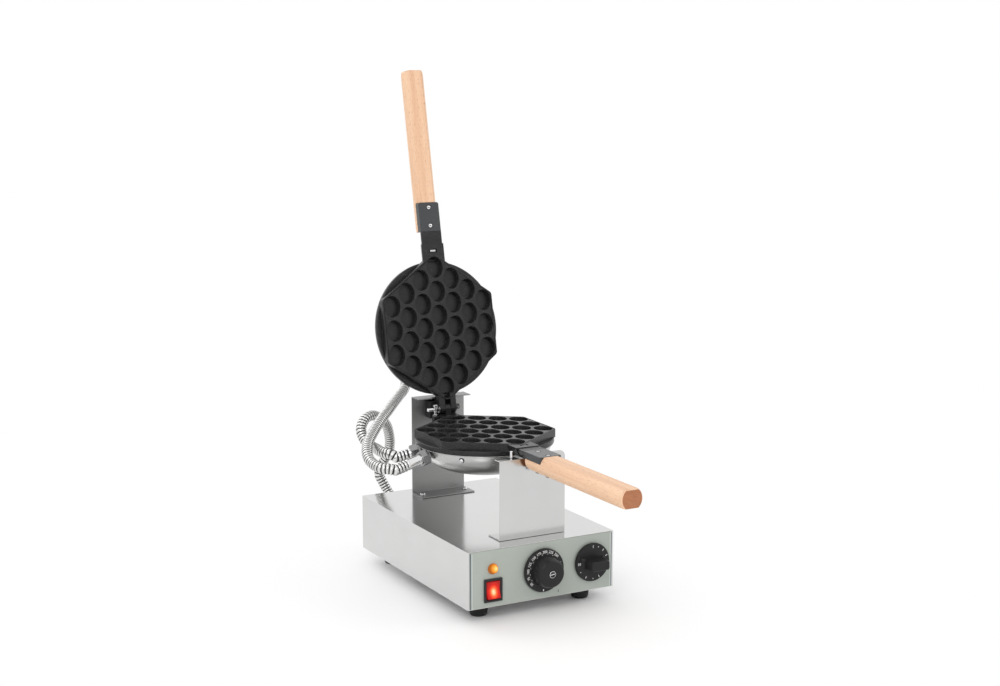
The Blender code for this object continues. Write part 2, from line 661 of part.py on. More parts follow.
def bracket_screws(parent, steel):
    seat = BASE_TOP + FIT + BRACKET_SHEET + FIT
    for place, (x, y) in bracket_screw_places().items():
        body = screw(BRACKET_SCREW_RADIUS, BRACKET_SCREW_HEAD, BRACKET_SCREW_HEAD_HEIGHT,
                     BRACKET_SCREW_REACH)
        make_object(f"bracket_screw_{place}", body, steel, parent, (x, y, seat))


def bearing_block(parent, iron, steel):
    back = REAR_BRACKET_PLACE - FIT
    body = make_object("bearing_block",
                       block((-BLOCK_HALF_WIDTH, BLOCK_START, AXIS_HEIGHT - BLOCK_LOW),
                             (BLOCK_HALF_WIDTH, back, AXIS_HEIGHT + BLOCK_HIGH)), iron, parent)
    length = back - BLOCK_START + OVERRUN
    bore = pin(PIVOT_RADIUS + FIT, -OVERRUN, length)
    cut(body, "bore", aim(bore, (0, BLOCK_START, AXIS_HEIGHT), (0, 1, 0)))
    holes = []
    for side, x in (("left", -BLOCK_SCREW_PLACE), ("right", BLOCK_SCREW_PLACE)):
        hole = pin(BLOCK_SCREW_RADIUS + FIT, -OVERRUN, BLOCK_SCREW_DEPTH + FIT, 8)
        holes.append(aim(hole, (x, back, block_middle()), (0, -1, 0)))
        reach = BLOCK_SCREW_DEPTH + BRACKET_SHEET + FIT
        body_screw = screw(BLOCK_SCREW_RADIUS, BLOCK_SCREW_HEAD, BLOCK_SCREW_HEAD_LENGTH, reach)
        seat = REAR_BRACKET_PLACE + BRACKET_SHEET + FIT
        make_object(f"block_screw_{side}", aim(body_screw, (x, seat, block_middle()), (0, 1, 0)),
                    steel, parent)
    cut(body, "screw_holes", merge(holes))


def bubble_places():
    """Centres of the thirty bubbles."""
    places = []
    for column in range(-3, 4):
        rows = COLUMN_ROWS[abs(column)]
        for row in range(rows):
            places.append((column * COLUMN_SPACING, (2 * row - rows + 1) * HALF_ROW))
    return places


def bubble_cutter():
    """Thirty oval cups, open at the plate's face and narrowing to a flat floor."""
    bm = bmesh.new()
    for x, y in bubble_places():
        rings = []
        levels = [(1.0, FACE - OVERRUN)]
        levels += [(share, FACE + BUBBLE_DEPTH * down) for share, down in BUBBLE_WALL_SHARES]
        for share, height in levels:
            rings.append([(x + share * BUBBLE_WIDTH / 2 * cos(2 * pi * i / BUBBLE_SIDES),
                           y + share * BUBBLE_LENGTH / 2 * sin(2 * pi * i / BUBBLE_SIDES), height)
                          for i in range(BUBBLE_SIDES)])
        skin(rings, bm=bm)
    return bm


def plate_outline():
    corners = [(PLATE_HALF_WIDTH, -PLATE_SIDE_HALF), (PLATE_HALF_WIDTH, PLATE_SIDE_HALF), (0, PLATE_END),
               (-PLATE_HALF_WIDTH, PLATE_SIDE_HALF), (-PLATE_HALF_WIDTH, -PLATE_SIDE_HALF), (0, -PLATE_END)]
    side, end = PLATE_CORNER_RADIUS, PLATE_END_RADIUS
    return rounded(corners, [side, side, end, side, side, end], 2)


def half_round(radius, level, steps=12):
    """Section in X and N of a half-round bar, flat at this level and round below it."""
    half = sqrt(radius ** 2 - level ** 2)
    arc = [(radius * cos(pi * i / steps), radius * sin(pi * i / steps)) for i in range(1, steps)]
    return [(half, level)] + arc + [(-half, level)]


def casting(pan):
    """Plate with its bubbles, round disc, neck, trunnion and tang: what both pans share."""
    name, parent, mirrored = pan["name"], pan["parent"], pan["mirrored"]
    outline = plate_outline()
    plate = make_object(f"{name}_plate", stack([(outline, FACE), (outline, SKIRT_DEPTH)]),
                        pan["materials"]["nonstick"], parent, mirrored=mirrored)
    disc = stack([(circle(DISC_RADIUS, 32), DISC_START), (circle(DISC_RADIUS, 32), DISC_BACK)])
    join(plate, "disc", disc, mirrored)
    neck = [(x, min(n, NECK_DEPTH)) for x, n in half_round(NECK_RADIUS, FACE)]
    join(plate, "neck", along_y(neck, -NECK_END, PLATE_END_RADIUS - PLATE_END), mirrored)
    trunnion = half_round(TRUNNION_RADIUS, TANG_TOP + FIT)
    join(plate, "trunnion", along_y(trunnion, -TRUNNION_END, FIT - NECK_END), mirrored)
    half = TANG_WIDTH / 2
    start = FIT - TRUNNION_END
    corners = [(-half, -TANG_END), (half, -TANG_END), (half, start), (-half, start)]
    tang = rounded(corners, [TANG_CORNER, TANG_CORNER, 0, 0], 2)
    join(plate, "tang", stack([(tang, TANG_TOP), (tang, TANG_BOTTOM)]), mirrored)
    return plate


def handle_screw_places():
    return {name: TRUNNION_END + offset for name, offset in HANDLE_SCREW_OFFSETS.items()}


def casting_cuts(plate, pan):
    """Bubbles, handle screw holes and the small slot in the neck."""
    mirrored = pan["mirrored"]
    cut(plate, "bubbles", bubble_cutter(), mirrored)
    holes = []
    for place in handle_screw_places().values():
        hole = stack([(circle(HANDLE_SCREW_HEAD + FIT, 8), TANG_TOP - OVERRUN),
                      (circle(HANDLE_SCREW_HEAD + FIT, 8), TANG_TOP + HANDLE_SCREW_HEAD_DEPTH),
                      (circle(HANDLE_SCREW_RADIUS + FIT, 8), TANG_TOP + HANDLE_SCREW_HEAD_DEPTH),
                      (circle(HANDLE_SCREW_RADIUS + FIT, 8), TANG_BOTTOM + OVERRUN)])
        holes.append(aim(hole, (0, -place, 0), (0, 0, 1)))
    cut(plate, "handle_screw_holes", merge(holes), mirrored)
    half_width, half_length = NECK_SLOT_WIDTH / 2, NECK_SLOT_LENGTH / 2
    slot = block((-half_width, -NECK_SLOT_PLACE - half_length, FACE - OVERRUN),
                 (half_width, half_length - NECK_SLOT_PLACE, FACE + NECK_SLOT_DEPTH))
    cut(plate, "neck_slot", slot, mirrored)


def hinge_bore(plate):
    """The bolt's bore across both castings. N points down on the lower pan, so its rise is negative."""
    rise = -HINGE_RISE if plate.name.startswith("lower") else HINGE_RISE
    reach = YOKE_HALF_WIDTH + OVERRUN
    bore = pin(HINGE_BOLT_RADIUS + FIT, -reach, reach)
    bore = aim(bore, (0, HINGE_SETBACK, rise), (1, 0, 0))
    cut(plate, "hinge_bore", bore, plate.name.startswith("lower"))


def lug_arc(rise, start, sweep, steps):
    """Points of the boss round the hinge bolt, as Y and N."""
    return [(HINGE_SETBACK + LUG_BOSS_RADIUS * cos(start + sweep * i / steps),
             rise + LUG_BOSS_RADIUS * sin(start + sweep * i / steps)) for i in range(steps + 1)]


def lower_casting(pan):
    plate = casting(pan)
    half = YOKE_HALF_WIDTH
    join(plate, "yoke", block((-half, LUG_ROOT, FACE + FIT), (half, YOKE_END, YOKE_DEPTH)), True)
    half = CENTRE_LUG_WIDTH / 2
    rear = HINGE_SETBACK + LUG_BOSS_RADIUS
    front = HINGE_SETBACK - LUG_BOSS_RADIUS
    root = FACE + BRACKET_SHEET
    outline = [(front, root)] + lug_arc(-HINGE_RISE, -pi, pi, 8) + [(rear, root)]
    join(plate, "centre_lug", along_x(outline, -half, half), True)
    casting_cuts(plate, pan)
    hinge_bore(plate)


def upper_casting(pan):
    plate = casting(pan)
    inner = CENTRE_LUG_WIDTH / 2 + SIDE_LUG_GAP
    outer = inner + SIDE_LUG_WIDTH
    outline = [(LUG_ROOT, HINGE_RISE - LUG_BOSS_RADIUS)] + lug_arc(HINGE_RISE, -pi / 2, pi, 8)
    outline += [(LUG_ROOT, HINGE_RISE + LUG_BOSS_RADIUS)]
    for side, name in ((1, "right_lug"), (-1, "left_lug")):
        join(plate, name, along_x(outline, side * inner, side * outer))
    casting_cuts(plate, pan)
    hinge_bore(plate)


def dish_point(angle, inset=0):
    """Radius and level of the bowl's round section, this far inside its skin.

    The angle runs from 0 at the rim to pi / 2 at the bottom.
    """
    radius = (BOWL_TOP_RADIUS - inset) * max(cos(angle), 0) ** BOWL_SIDE_POWER
    return radius, BOWL_RIM_LEVEL + (BOWL_DEPTH - inset) * sin(angle) ** BOWL_DEPTH_POWER


def dish_angle(level, inset=0):
    """The angle at which that section reaches a level."""
    return asin(((level - BOWL_RIM_LEVEL) / (BOWL_DEPTH - inset)) ** (1 / BOWL_DEPTH_POWER))


def dish_side(top, inset):
    """Half of the bowl's section below a level, ending on the axis."""
    start = dish_angle(top, inset)
    angles = [start + (pi / 2 - start) * step / BOWL_STEPS for step in range(BOWL_STEPS)]
    return [dish_point(angle, inset) for angle in angles] + [(0, BOWL_BOTTOM - inset)]


def bowl(pan):
    """A pressed shell with a rim turned out against the disc."""
    rim_end = BOWL_RIM_LEVEL + BOWL_SHEET
    outer = [(BOWL_RIM_RADIUS, BOWL_RIM_LEVEL), (BOWL_RIM_RADIUS, rim_end)] + dish_side(rim_end, 0)
    inner = dish_side(BOWL_RIM_LEVEL, BOWL_SHEET)
    return make_object(f"{pan['name']}_bowl", turned(list(reversed(inner)) + outer, BOWL_SIDES),
                       pan["materials"]["steel"], pan["parent"], mirrored=pan["mirrored"])


def wall_pose(angle, level):
    """A seat on the bowl's side and the direction square to it there, in X, Y and N."""
    place = dish_angle(level)
    radius = dish_point(place)[0]
    side = BOWL_SIDE_POWER * BOWL_TOP_RADIUS * cos(place) ** (BOWL_SIDE_POWER - 1) * sin(place)
    fall = BOWL_DEPTH_POWER * BOWL_DEPTH * sin(place) ** (BOWL_DEPTH_POWER - 1) * cos(place)
    lean = atan2(side, fall)
    return seat_on_circle(angle, radius, level, lean)


def seat_on_circle(angle, radius, level, lean):
    """A point on a circle round the pan's axis, and a direction outwards that leans down from there."""
    seat = Vector((radius * cos(angle), radius * sin(angle), level))
    return seat, Vector((cos(angle) * cos(lean), sin(angle) * cos(lean), sin(lean)))


def bowl_screws(pan):
    sides = 10
    for side, angle in BOWL_SCREW_ANGLES.items():
        seat, direction = wall_pose(angle, BOWL_SCREW_LEVEL)
        head = stack([(circle(BOWL_SCREW_RADIUS, sides), 0),
                      (circle(BOWL_SCREW_RADIUS, sides), BOWL_SCREW_HEIGHT / 2),
                      (circle(BOWL_SCREW_RADIUS * BOWL_SCREW_TOP_SHARE, sides), BOWL_SCREW_HEIGHT)])
        make_object(f"{pan['name']}_bowl_screw_{side}", aim(head, seat + direction * FIT, direction),
                    pan["materials"]["chrome"], pan["parent"], mirrored=pan["mirrored"])


def tube_mesh(name, points, radii, depth, resolution):
    """The mesh of a bevelled curve through these points, with filled ends."""
    curve = bpy.data.curves.new(name, "CURVE")
    curve.dimensions = "3D"
    curve.bevel_depth = depth
    curve.bevel_resolution = resolution
    curve.use_fill_caps = True
    spline = curve.splines.new("POLY")
    spline.points.add(len(points) - 1)
    for spot, place, radius in zip(spline.points, points, radii):
        spot.co = (*place, 1)
        spot.radius = radius
    holder = bpy.data.objects.new(name, curve)
    bpy.context.scene.collection.objects.link(holder)
    graph = bpy.context.evaluated_depsgraph_get()
    mesh = bpy.data.meshes.new_from_object(holder.evaluated_get(graph))
    bpy.data.objects.remove(holder, do_unlink=True)
    bpy.data.curves.remove(curve)
    bm = bmesh.new()
    bm.from_mesh(mesh)
    bpy.data.meshes.remove(mesh)
    bmesh.ops.remove_doubles(bm, verts=bm.verts, dist=TIGHT_MERGE)
    return bm


def element(pan):
    """A tubular heater bent to an open ring, its two ends turned away from the plate."""
    level = DISC_BACK + FIT + ELEMENT_TUBE_RADIUS
    points = []
    for i in range(ELEMENT_POINTS):
        angle = -ELEMENT_SWEEP / 2 + ELEMENT_SWEEP * i / (ELEMENT_POINTS - 1)
        points.append((ELEMENT_RING_RADIUS * cos(angle), ELEMENT_RING_RADIUS * sin(angle), level))
    for end, place in ((points[0], 0), (points[-1], len(points) + 1)):
        points.insert(place, (end[0] - ELEMENT_TAIL / 2, end[1], level + ELEMENT_TAIL))
    bm = tube_mesh("element_path", points, [1.0] * len(points), ELEMENT_TUBE_RADIUS, 1)
    make_object(f"{pan['name']}_heating_element", bm, pan["materials"]["dark_steel"], pan["parent"],
                mirrored=pan["mirrored"])


def probe(pan):
    half = PROBE_LENGTH / 2
    rod = aim(pin(PROBE_RADIUS, -half, half, 8), (0, 0, DISC_BACK + FIT + PROBE_RADIUS), (0, 1, 0))
    make_object(f"{pan['name']}_probe", rod, pan["materials"]["chrome"], pan["parent"],
                mirrored=pan["mirrored"])


def insulation(pan):
    """A pad laid in the bowl's bottom, flat on top."""
    inset = BOWL_SHEET + FIT + RUNNING_FIT
    top = BOWL_BOTTOM - inset - INSULATION_THICKNESS
    pad = turned([(0, top)] + dish_side(top, inset), BOWL_SIDES)
    return make_object(f"{pan['name']}_insulation", pad, pan["materials"]["fibre"], pan["parent"],
                       mirrored=pan["mirrored"])


def barrel_outline(width_share=1.0):
    """The handle's section in X and N: flat top and bottom, round sides."""
    middle = HANDLE_TOP + HANDLE_HEIGHT / 2
    half = HANDLE_HEIGHT / 2
    bulge = HANDLE_HALF_WIDTH - HANDLE_FLAT_HALF
    radius = (bulge ** 2 + half ** 2) / (2 * bulge)
    spread = atan2(half, radius - bulge)
    points = []
    for side in (1, -1):
        for i in range(5):
            angle = spread * (i / 2 - 1)
            x = HANDLE_HALF_WIDTH - radius + radius * cos(angle)
            points.append((side * x * width_share, middle + side * radius * sin(angle)))
    return points


def handle(pan):
    """A barrel of wood with a rebate for the tang and two bolt holes."""
    places = [(HANDLE_START, 1 - HANDLE_CHAMFER / HANDLE_HALF_WIDTH), (HANDLE_START + HANDLE_CHAMFER, 1.0)]
    for step in range(HANDLE_END_STEPS + 1):
        angle = pi / 2 * step / HANDLE_END_STEPS
        narrowing = HANDLE_END_NARROWING * (1 - cos(angle)) / HANDLE_HALF_WIDTH
        places.append((HANDLE_END - HANDLE_END_ROUND * (1 - sin(angle)), 1 - narrowing))
    rings = [[(x, -place, n) for x, n in barrel_outline(share)] for place, share in places]
    grip = make_object(f"{pan['name']}_handle", skin(rings), pan["materials"]["wood"], pan["parent"],
                       mirrored=pan["mirrored"])
    half = TANG_WIDTH / 2
    rebate = block((-half, -TANG_END - FIT, HANDLE_TOP - OVERRUN),
                   (half, OVERRUN - HANDLE_START, TANG_BOTTOM + FIT))
    cut(grip, "rebate", rebate, pan["mirrored"])
    holes = []
    for place in handle_screw_places().values():
        hole = pin(HANDLE_SCREW_RADIUS + FIT, TANG_TOP, HANDLE_BOTTOM + OVERRUN, 8)
        holes.append(aim(hole, (0, -place, 0), (0, 0, 1)))
    cut(grip, "bolt_holes", merge(holes), pan["mirrored"])


def handle_bolts(pan):
    """Two bolts through tang and wood, each with a flush head and a domed nut run tight on its end."""
    head, shank = circle(HANDLE_SCREW_HEAD, 8), circle(HANDLE_SCREW_RADIUS, 8)
    nut, nut_top = circle(HANDLE_NUT_RADIUS, 8), circle(HANDLE_NUT_RADIUS * HANDLE_NUT_TOP_SHARE, 8)
    neck = TANG_TOP + HANDLE_SCREW_HEAD_DEPTH - FIT
    seat = HANDLE_BOTTOM + FIT
    for name, place in handle_screw_places().items():
        body = stack([(head, TANG_TOP + FIT), (head, neck), (shank, neck), (shank, seat), (nut, seat),
                      (nut, seat + HANDLE_NUT_HEIGHT * HANDLE_NUT_SIDE_SHARE),
                      (nut_top, seat + HANDLE_NUT_HEIGHT)])
        make_object(f"{pan['name']}_handle_bolt_{name}", aim(body, (0, -place, 0), (0, 0, 1)),
                    pan["materials"]["chrome"], pan["parent"], mirrored=pan["mirrored"])


def gland_body(tip_radius, tip_length):
    """A threaded stub, a hexagon and a plain tip about Z, seated at 0, with a bore right through."""
    nut_end = GLAND_SEAT + GLAND_NUT_LENGTH
    tip_end = nut_end + tip_length
    stub, tip = circle(GLAND_STUB_RADIUS, 12), circle(tip_radius, 12)
    bore = circle(GLAND_BORE_RADIUS, 12)
    hexed = hexagon(GLAND_FLATS)
    levels = [(stub, -GLAND_STUB_LENGTH), (stub, GLAND_SEAT), (hexed, GLAND_SEAT), (hexed, nut_end),
              (tip, nut_end), (tip, tip_end), (bore, tip_end), (bore, -GLAND_STUB_LENGTH)]
    return stack(levels, closed=True), tip_end


def add_gland(name, shell, seat, direction, tip, pan, steel):
    """A gland on a shell, with the hole that its stub passes through. Returns its exit point."""
    body, reach = gland_body(*tip)
    make_object(name, aim(body, seat, direction), steel, pan["parent"], mirrored=pan["mirrored"])
    hole = pin(GLAND_STUB_RADIUS + RUNNING_FIT, -OVERRUN - GLAND_STUB_LENGTH, OVERRUN)
    cut(shell, f"{name}_hole", aim(hole, seat, direction), pan["mirrored"])
    return seat + direction * (reach + FIT), direction


def to_table_lower(point, direction):
    """Lower pan X, Y, N to the plates' centre frame above the table."""
    place = Vector((point.x, point.y, AXIS_HEIGHT - point.z))
    return place, Vector((direction.x, direction.y, -direction.z))


def to_table_upper(point, direction):
    """The same for the upper pan, turned open about the hinge bolt."""
    turn = Matrix.Rotation(-LID_OPEN, 3, "X")
    hinge = Vector((0, HINGE_SETBACK, HINGE_RISE))
    return turn @ (point - hinge) + hinge + Vector((0, 0, AXIS_HEIGHT)), turn @ direction


def smooth_route(start, start_direction, middle, end, end_direction, step):
    """Points at even steps on a smooth curve, straight for one diameter at each end."""
    inside = [Vector(point) for point in middle]
    knots = [start + start_direction * CONDUIT_STRAIGHT] + inside + [end + end_direction * CONDUIT_STRAIGHT]
    slopes = [start_direction * (knots[1] - knots[0]).length]
    for before, after in zip(knots, knots[2:]):
        slopes.append((after - before) / 2)
    slopes.append(-end_direction * (knots[-1] - knots[-2]).length)
    dense = [start, knots[0]]
    for first, second, leave, arrive in zip(knots, knots[1:], slopes, slopes[1:]):
        for i in range(1, 13):
            t = i / 12
            dense.append((2 * t ** 3 - 3 * t ** 2 + 1) * first + (t ** 3 - 2 * t ** 2 + t) * leave
                         + (3 * t ** 2 - 2 * t ** 3) * second + (t ** 3 - t ** 2) * arrive)
    dense.append(end)
    lengths = [0.0]
    for first, second in zip(dense, dense[1:]):
        lengths.append(lengths[-1] + (second - first).length)
    count = max(2, 2 * round(lengths[-1] / step / 2))
    points, seek = [], 0
    for i in range(count + 1):
        target = lengths[-1] * i / count
        while seek < len(lengths) - 2 and lengths[seek + 1] < target:
            seek += 1
        part = (target - lengths[seek]) / (lengths[seek + 1] - lengths[seek])
        points.append(dense[seek].lerp(dense[seek + 1], min(1.0, part)))
    return points, lengths[-1]


def conduit(name, start, start_direction, route, end, end_direction, parent, steel):
    """A hose of round ribs on a smooth route, with its bore cut through."""
    pitch = CONDUIT_RIB_PITCH
    points, length = smooth_route(start, start_direction, route, end, end_direction, pitch / 2)
    radii = [CONDUIT_ROOT_SHARE if i % 2 == 0 else 1.0 for i in range(len(points))]
    hose = make_object(name, tube_mesh(name, points, radii, CONDUIT_RADIUS, 2), steel, parent)
    sparse = points[::3] + ([points[-1]] if (len(points) - 1) % 3 else [])
    before = sparse[0] - start_direction * OVERRUN
    after = sparse[-1] - end_direction * OVERRUN
    bore = [before] + sparse + [after]
    cut(hose, "bore", tube_mesh(f"{name}_bore", bore, [1.0] * len(bore), CONDUIT_BORE_RADIUS, 1))
    print(f"{name}: {length * 1000:.0f} mm long, {len(points) // 2} ribs, "
          f"least gap to itself {least_gap(points, pitch / 2) * 1000:.1f} mm")


def least_gap(points, step):
    """Clear distance between parts of the hose that lie more than five diameters apart along it."""
    skip = int(10 * CONDUIT_RADIUS / step)
    gaps = [(points[i] - points[j]).length
            for i in range(len(points)) for j in range(i + skip, len(points))]
    return min(gaps) - 2 * CONDUIT_RADIUS


def hinge_bolt(parent, chrome):
    """A bolt across both castings, its head on the right and a nut on the left."""
    lug_side = CENTRE_LUG_WIDTH / 2 + SIDE_LUG_GAP + SIDE_LUG_WIDTH
    seat = lug_side + FIT
    shank, head = circle(HINGE_BOLT_RADIUS, 12), hexagon(HINGE_HEAD_FLATS)
    body = stack([(shank, -HINGE_BOLT_LEFT), (shank, seat), (head, seat),
                  (head, seat + HINGE_HEAD_LENGTH)])
    place = Vector((0, HINGE_SETBACK, HINGE_RISE))
    make_object("hinge_bolt", aim(body, place, (1, 0, 0)), chrome, parent)
    bore = circle(HINGE_BOLT_RADIUS + FIT, 12)
    far = seat + HINGE_NUT_LENGTH
    nut = stack([(head, -far), (head, -seat), (bore, -seat), (bore, -far)], closed=True)
    make_object("hinge_nut", aim(nut, place, (1, 0, 0)), chrome, parent)


def rear_pivot(parent, chrome):
    """A flanged stub behind the yoke that turns in the bearing block, held by a nut."""
    flange, shaft = circle(PIVOT_FLANGE_RADIUS, 12), circle(PIVOT_RADIUS, 12)
    start = YOKE_END + FIT
    body = stack([(flange, start), (flange, start + PIVOT_FLANGE),
                  (shaft, start + PIVOT_FLANGE), (shaft, PIVOT_END)])
    make_object("rear_pivot", aim(body, (0, 0, 0), (0, 1, 0)), chrome, parent)
    low = REAR_BRACKET_PLACE + BRACKET_SHEET + FIT
    hexed, bore = hexagon(PIVOT_NUT_FLATS), circle(PIVOT_RADIUS + FIT, 12)
    high = low + PIVOT_NUT_LENGTH
    nut = stack([(hexed, low), (hexed, high), (bore, high), (bore, low)], closed=True)
    make_object("rear_pivot_nut", aim(nut, (0, 0, 0), (0, 1, 0)), chrome, parent)


def thermostat(parent, materials):
    width, depth, height = THERMOSTAT_BODY_SIZE
    near = WALL_INSIDE + FIT
    low = CONTROL_LINE_HEIGHT - height / 2
    body = make_object("thermostat_body",
                       block((THERMOSTAT_X - width / 2, near, low),
                             (THERMOSTAT_X + width / 2, near + depth, low + height)),
                       materials["ceramic"], parent)
    cut(body, "spindle_socket", spindle_socket(THERMOSTAT_X, near))
    axis = make_empty("thermostat_axis", parent, (THERMOSTAT_X, PANEL_FACE - KNOB_GAP, CONTROL_LINE_HEIGHT))
    dial_face = THERMOSTAT_DIAL_THICKNESS
    dial, cap = circle(THERMOSTAT_DIAL_RADIUS, 24), circle(THERMOSTAT_CAP_RADIUS, 24)
    top = circle(THERMOSTAT_CAP_TOP_RADIUS, 24)
    edge = THERMOSTAT_CAP_REACH - KNOB_EDGE
    inner_top = circle(THERMOSTAT_CAP_TOP_RADIUS - KNOB_EDGE, 24)
    knob = stack([(dial, 0), (dial, dial_face), (cap, dial_face), (top, edge),
                  (inner_top, THERMOSTAT_CAP_REACH)])
    piece = make_object("thermostat_knob", aim(knob, (0, 0, 0), (0, -1, 0)), materials["knob"], axis)
    seat = aim(pin(KNOB_INSERT_RADIUS + FIT, THERMOSTAT_CAP_REACH - KNOB_INSERT_DEPTH - FIT,
                   THERMOSTAT_CAP_REACH + OVERRUN), (0, 0, 0), (0, -1, 0))
    cut(piece, "insert_seat", seat)
    cut(piece, "spindle_socket", knob_socket())
    insert = stack([(circle(KNOB_INSERT_RADIUS, 12), THERMOSTAT_CAP_REACH - KNOB_INSERT_DEPTH),
                    (circle(KNOB_INSERT_RADIUS, 12), THERMOSTAT_CAP_REACH + KNOB_INSERT_PROUD)])
    make_object("thermostat_knob_insert", aim(insert, (0, 0, 0), (0, -1, 0)), materials["chrome"], axis)
    spindle("thermostat_spindle", axis, near, materials["steel"])


def spindle_socket(x, near):
    hole = pin(SPINDLE_RADIUS + FIT, -OVERRUN, SPINDLE_SOCKET_DEPTH + FIT)
    return aim(hole, (x, near, CONTROL_LINE_HEIGHT), (0, 1, 0))


def knob_socket():
    return aim(pin(SPINDLE_RADIUS + FIT, -OVERRUN, KNOB_SOCKET_DEPTH + FIT), (0, 0, 0), (0, -1, 0))


def spindle(name, axis, near, steel):
    """A shaft from inside the control's body to inside its knob."""
    inside = near + SPINDLE_SOCKET_DEPTH - (PANEL_FACE - KNOB_GAP)
    rod = pin(SPINDLE_RADIUS, -inside, KNOB_SOCKET_DEPTH)
    make_object(name, aim(rod, (0, 0, 0), (0, -1, 0)), steel, axis)


def timer(parent, materials):
    near = WALL_INSIDE + FIT
    rings = circle(TIMER_BODY_RADIUS, 24)
    can = aim(stack([(rings, 0), (rings, TIMER_BODY_DEPTH)]), (TIMER_X, near, CONTROL_LINE_HEIGHT), (0, 1, 0))
    body = make_object("timer_body", can, materials["ceramic"], parent)
    cut(body, "spindle_socket", spindle_socket(TIMER_X, near))
    axis = make_empty("timer_axis", parent, (TIMER_X, PANEL_FACE - KNOB_GAP, CONTROL_LINE_HEIGHT))
    dial = circle(TIMER_DIAL_RADIUS, 24)
    knob = aim(stack([(dial, 0), (dial, TIMER_DIAL_THICKNESS)]), (0, 0, 0), (0, -1, 0))
    piece = make_object("timer_knob", knob, materials["knob"], axis)
    levels = ((TIMER_GRIP_ROOT_LENGTH, TIMER_GRIP_ROOT_WIDTH, TIMER_DIAL_THICKNESS / 2),
              (TIMER_GRIP_LENGTH, TIMER_GRIP_WIDTH, TIMER_GRIP_SHOULDER),
              (TIMER_GRIP_LENGTH, TIMER_GRIP_WIDTH, TIMER_GRIP_REACH))
    rings = []
    for length, width, height in levels:
        corners = [(-length / 2, -width / 2), (length / 2, -width / 2),
                   (length / 2, width / 2), (-length / 2, width / 2)]
        rings.append((rounded(corners, [TANG_CORNER] * 4, 3), height))
    join(piece, "grip", aim(stack(rings), (0, 0, 0), (0, -1, 0)))
    cut(piece, "spindle_socket", knob_socket())
    spindle("timer_spindle", axis, near, materials["steel"])


def power_switch(parent, materials):
    """A housing through the panel with a pocket, and the rocker that tilts in it."""
    face = PANEL_FACE - FIT - SWITCH_BEZEL
    half_width, half_height = SWITCH_WIDTH / 2, SWITCH_FACE_HEIGHT / 2
    housing = make_object("power_switch_housing",
                          block((LAMP_X - half_width, face, SWITCH_HEIGHT - half_height),
                                (LAMP_X + half_width, PANEL_FACE - FIT, SWITCH_HEIGHT + half_height)),
                          materials["plastic"], parent)
    half_width, half_height = SWITCH_BODY_WIDTH / 2, SWITCH_BODY_HEIGHT / 2
    middle = PANEL_FACE - FIT - SWITCH_BEZEL / 2
    join(housing, "body", block((LAMP_X - half_width, middle, SWITCH_HEIGHT - half_height),
                                (LAMP_X + half_width, face + SWITCH_BODY_DEPTH, SWITCH_HEIGHT + half_height)))
    half_width = ROCKER_WIDTH / 2 + ROCKER_SIDE_GAP
    half_height = ROCKER_HEIGHT / 2 + ROCKER_END_GAP
    floor_at = face + ROCKER_POCKET_DEPTH
    cut(housing, "pocket", block((LAMP_X - half_width, face - OVERRUN, SWITCH_HEIGHT - half_height),
                                 (LAMP_X + half_width, floor_at, SWITCH_HEIGHT + half_height)))
    place = (LAMP_X, face + ROCKER_PIVOT_DEPTH, SWITCH_HEIGHT)
    axis = make_empty("rocker_axis", parent, place, -ROCKER_TILT)
    half = ROCKER_HEIGHT / 2
    crest = ROCKER_PIVOT_DEPTH + ROCKER_CREST - ROCKER_VALLEY
    back = half * ROCKER_BACK_SHARE
    outline = [(-crest, -half), (-ROCKER_VALLEY, 0), (-crest, half),
               (ROCKER_BACK, back), (ROCKER_BACK, -back)]
    rocker = along_x(outline, -ROCKER_WIDTH / 2, ROCKER_WIDTH / 2)
    make_object("power_rocker", rocker, materials["red"], axis)


def lamp(parent, materials):
    """An amber dome on a flange, its stub in a holder behind the wall."""
    steps = 4
    dome = []
    for i in range(steps):
        angle = pi / 2 * i / steps
        dome.append((LAMP_DOME_RADIUS * cos(angle), LAMP_FLANGE + LAMP_DOME_REACH * sin(angle)))
    profile = [(0, -LAMP_STUB_LENGTH), (LAMP_STUB_RADIUS, -LAMP_STUB_LENGTH), (LAMP_STUB_RADIUS, 0),
               (LAMP_FLANGE_RADIUS, 0), (LAMP_FLANGE_RADIUS, LAMP_FLANGE)] + dome
    profile.append((0, LAMP_FLANGE + LAMP_DOME_REACH))
    seat = PANEL_FACE - FIT
    lens = aim(turned(profile, 12), (LAMP_X, seat, LAMP_HEIGHT), (0, -1, 0))
    make_object("heat_lamp_lens", lens, materials["amber"], parent)
    near = WALL_INSIDE + FIT
    rings = circle(LAMP_HOLDER_RADIUS, 12)
    body = aim(stack([(rings, 0), (rings, LAMP_HOLDER_LENGTH)]), (LAMP_X, near, LAMP_HEIGHT), (0, 1, 0))
    holder = make_object("heat_lamp_holder", body, materials["plastic"], parent)
    depth = seat + LAMP_STUB_LENGTH - near
    cut(holder, "stub_socket", aim(pin(LAMP_STUB_RADIUS + FIT, -OVERRUN, depth + FIT),
                                   (LAMP_X, near, LAMP_HEIGHT), (0, 1, 0)))


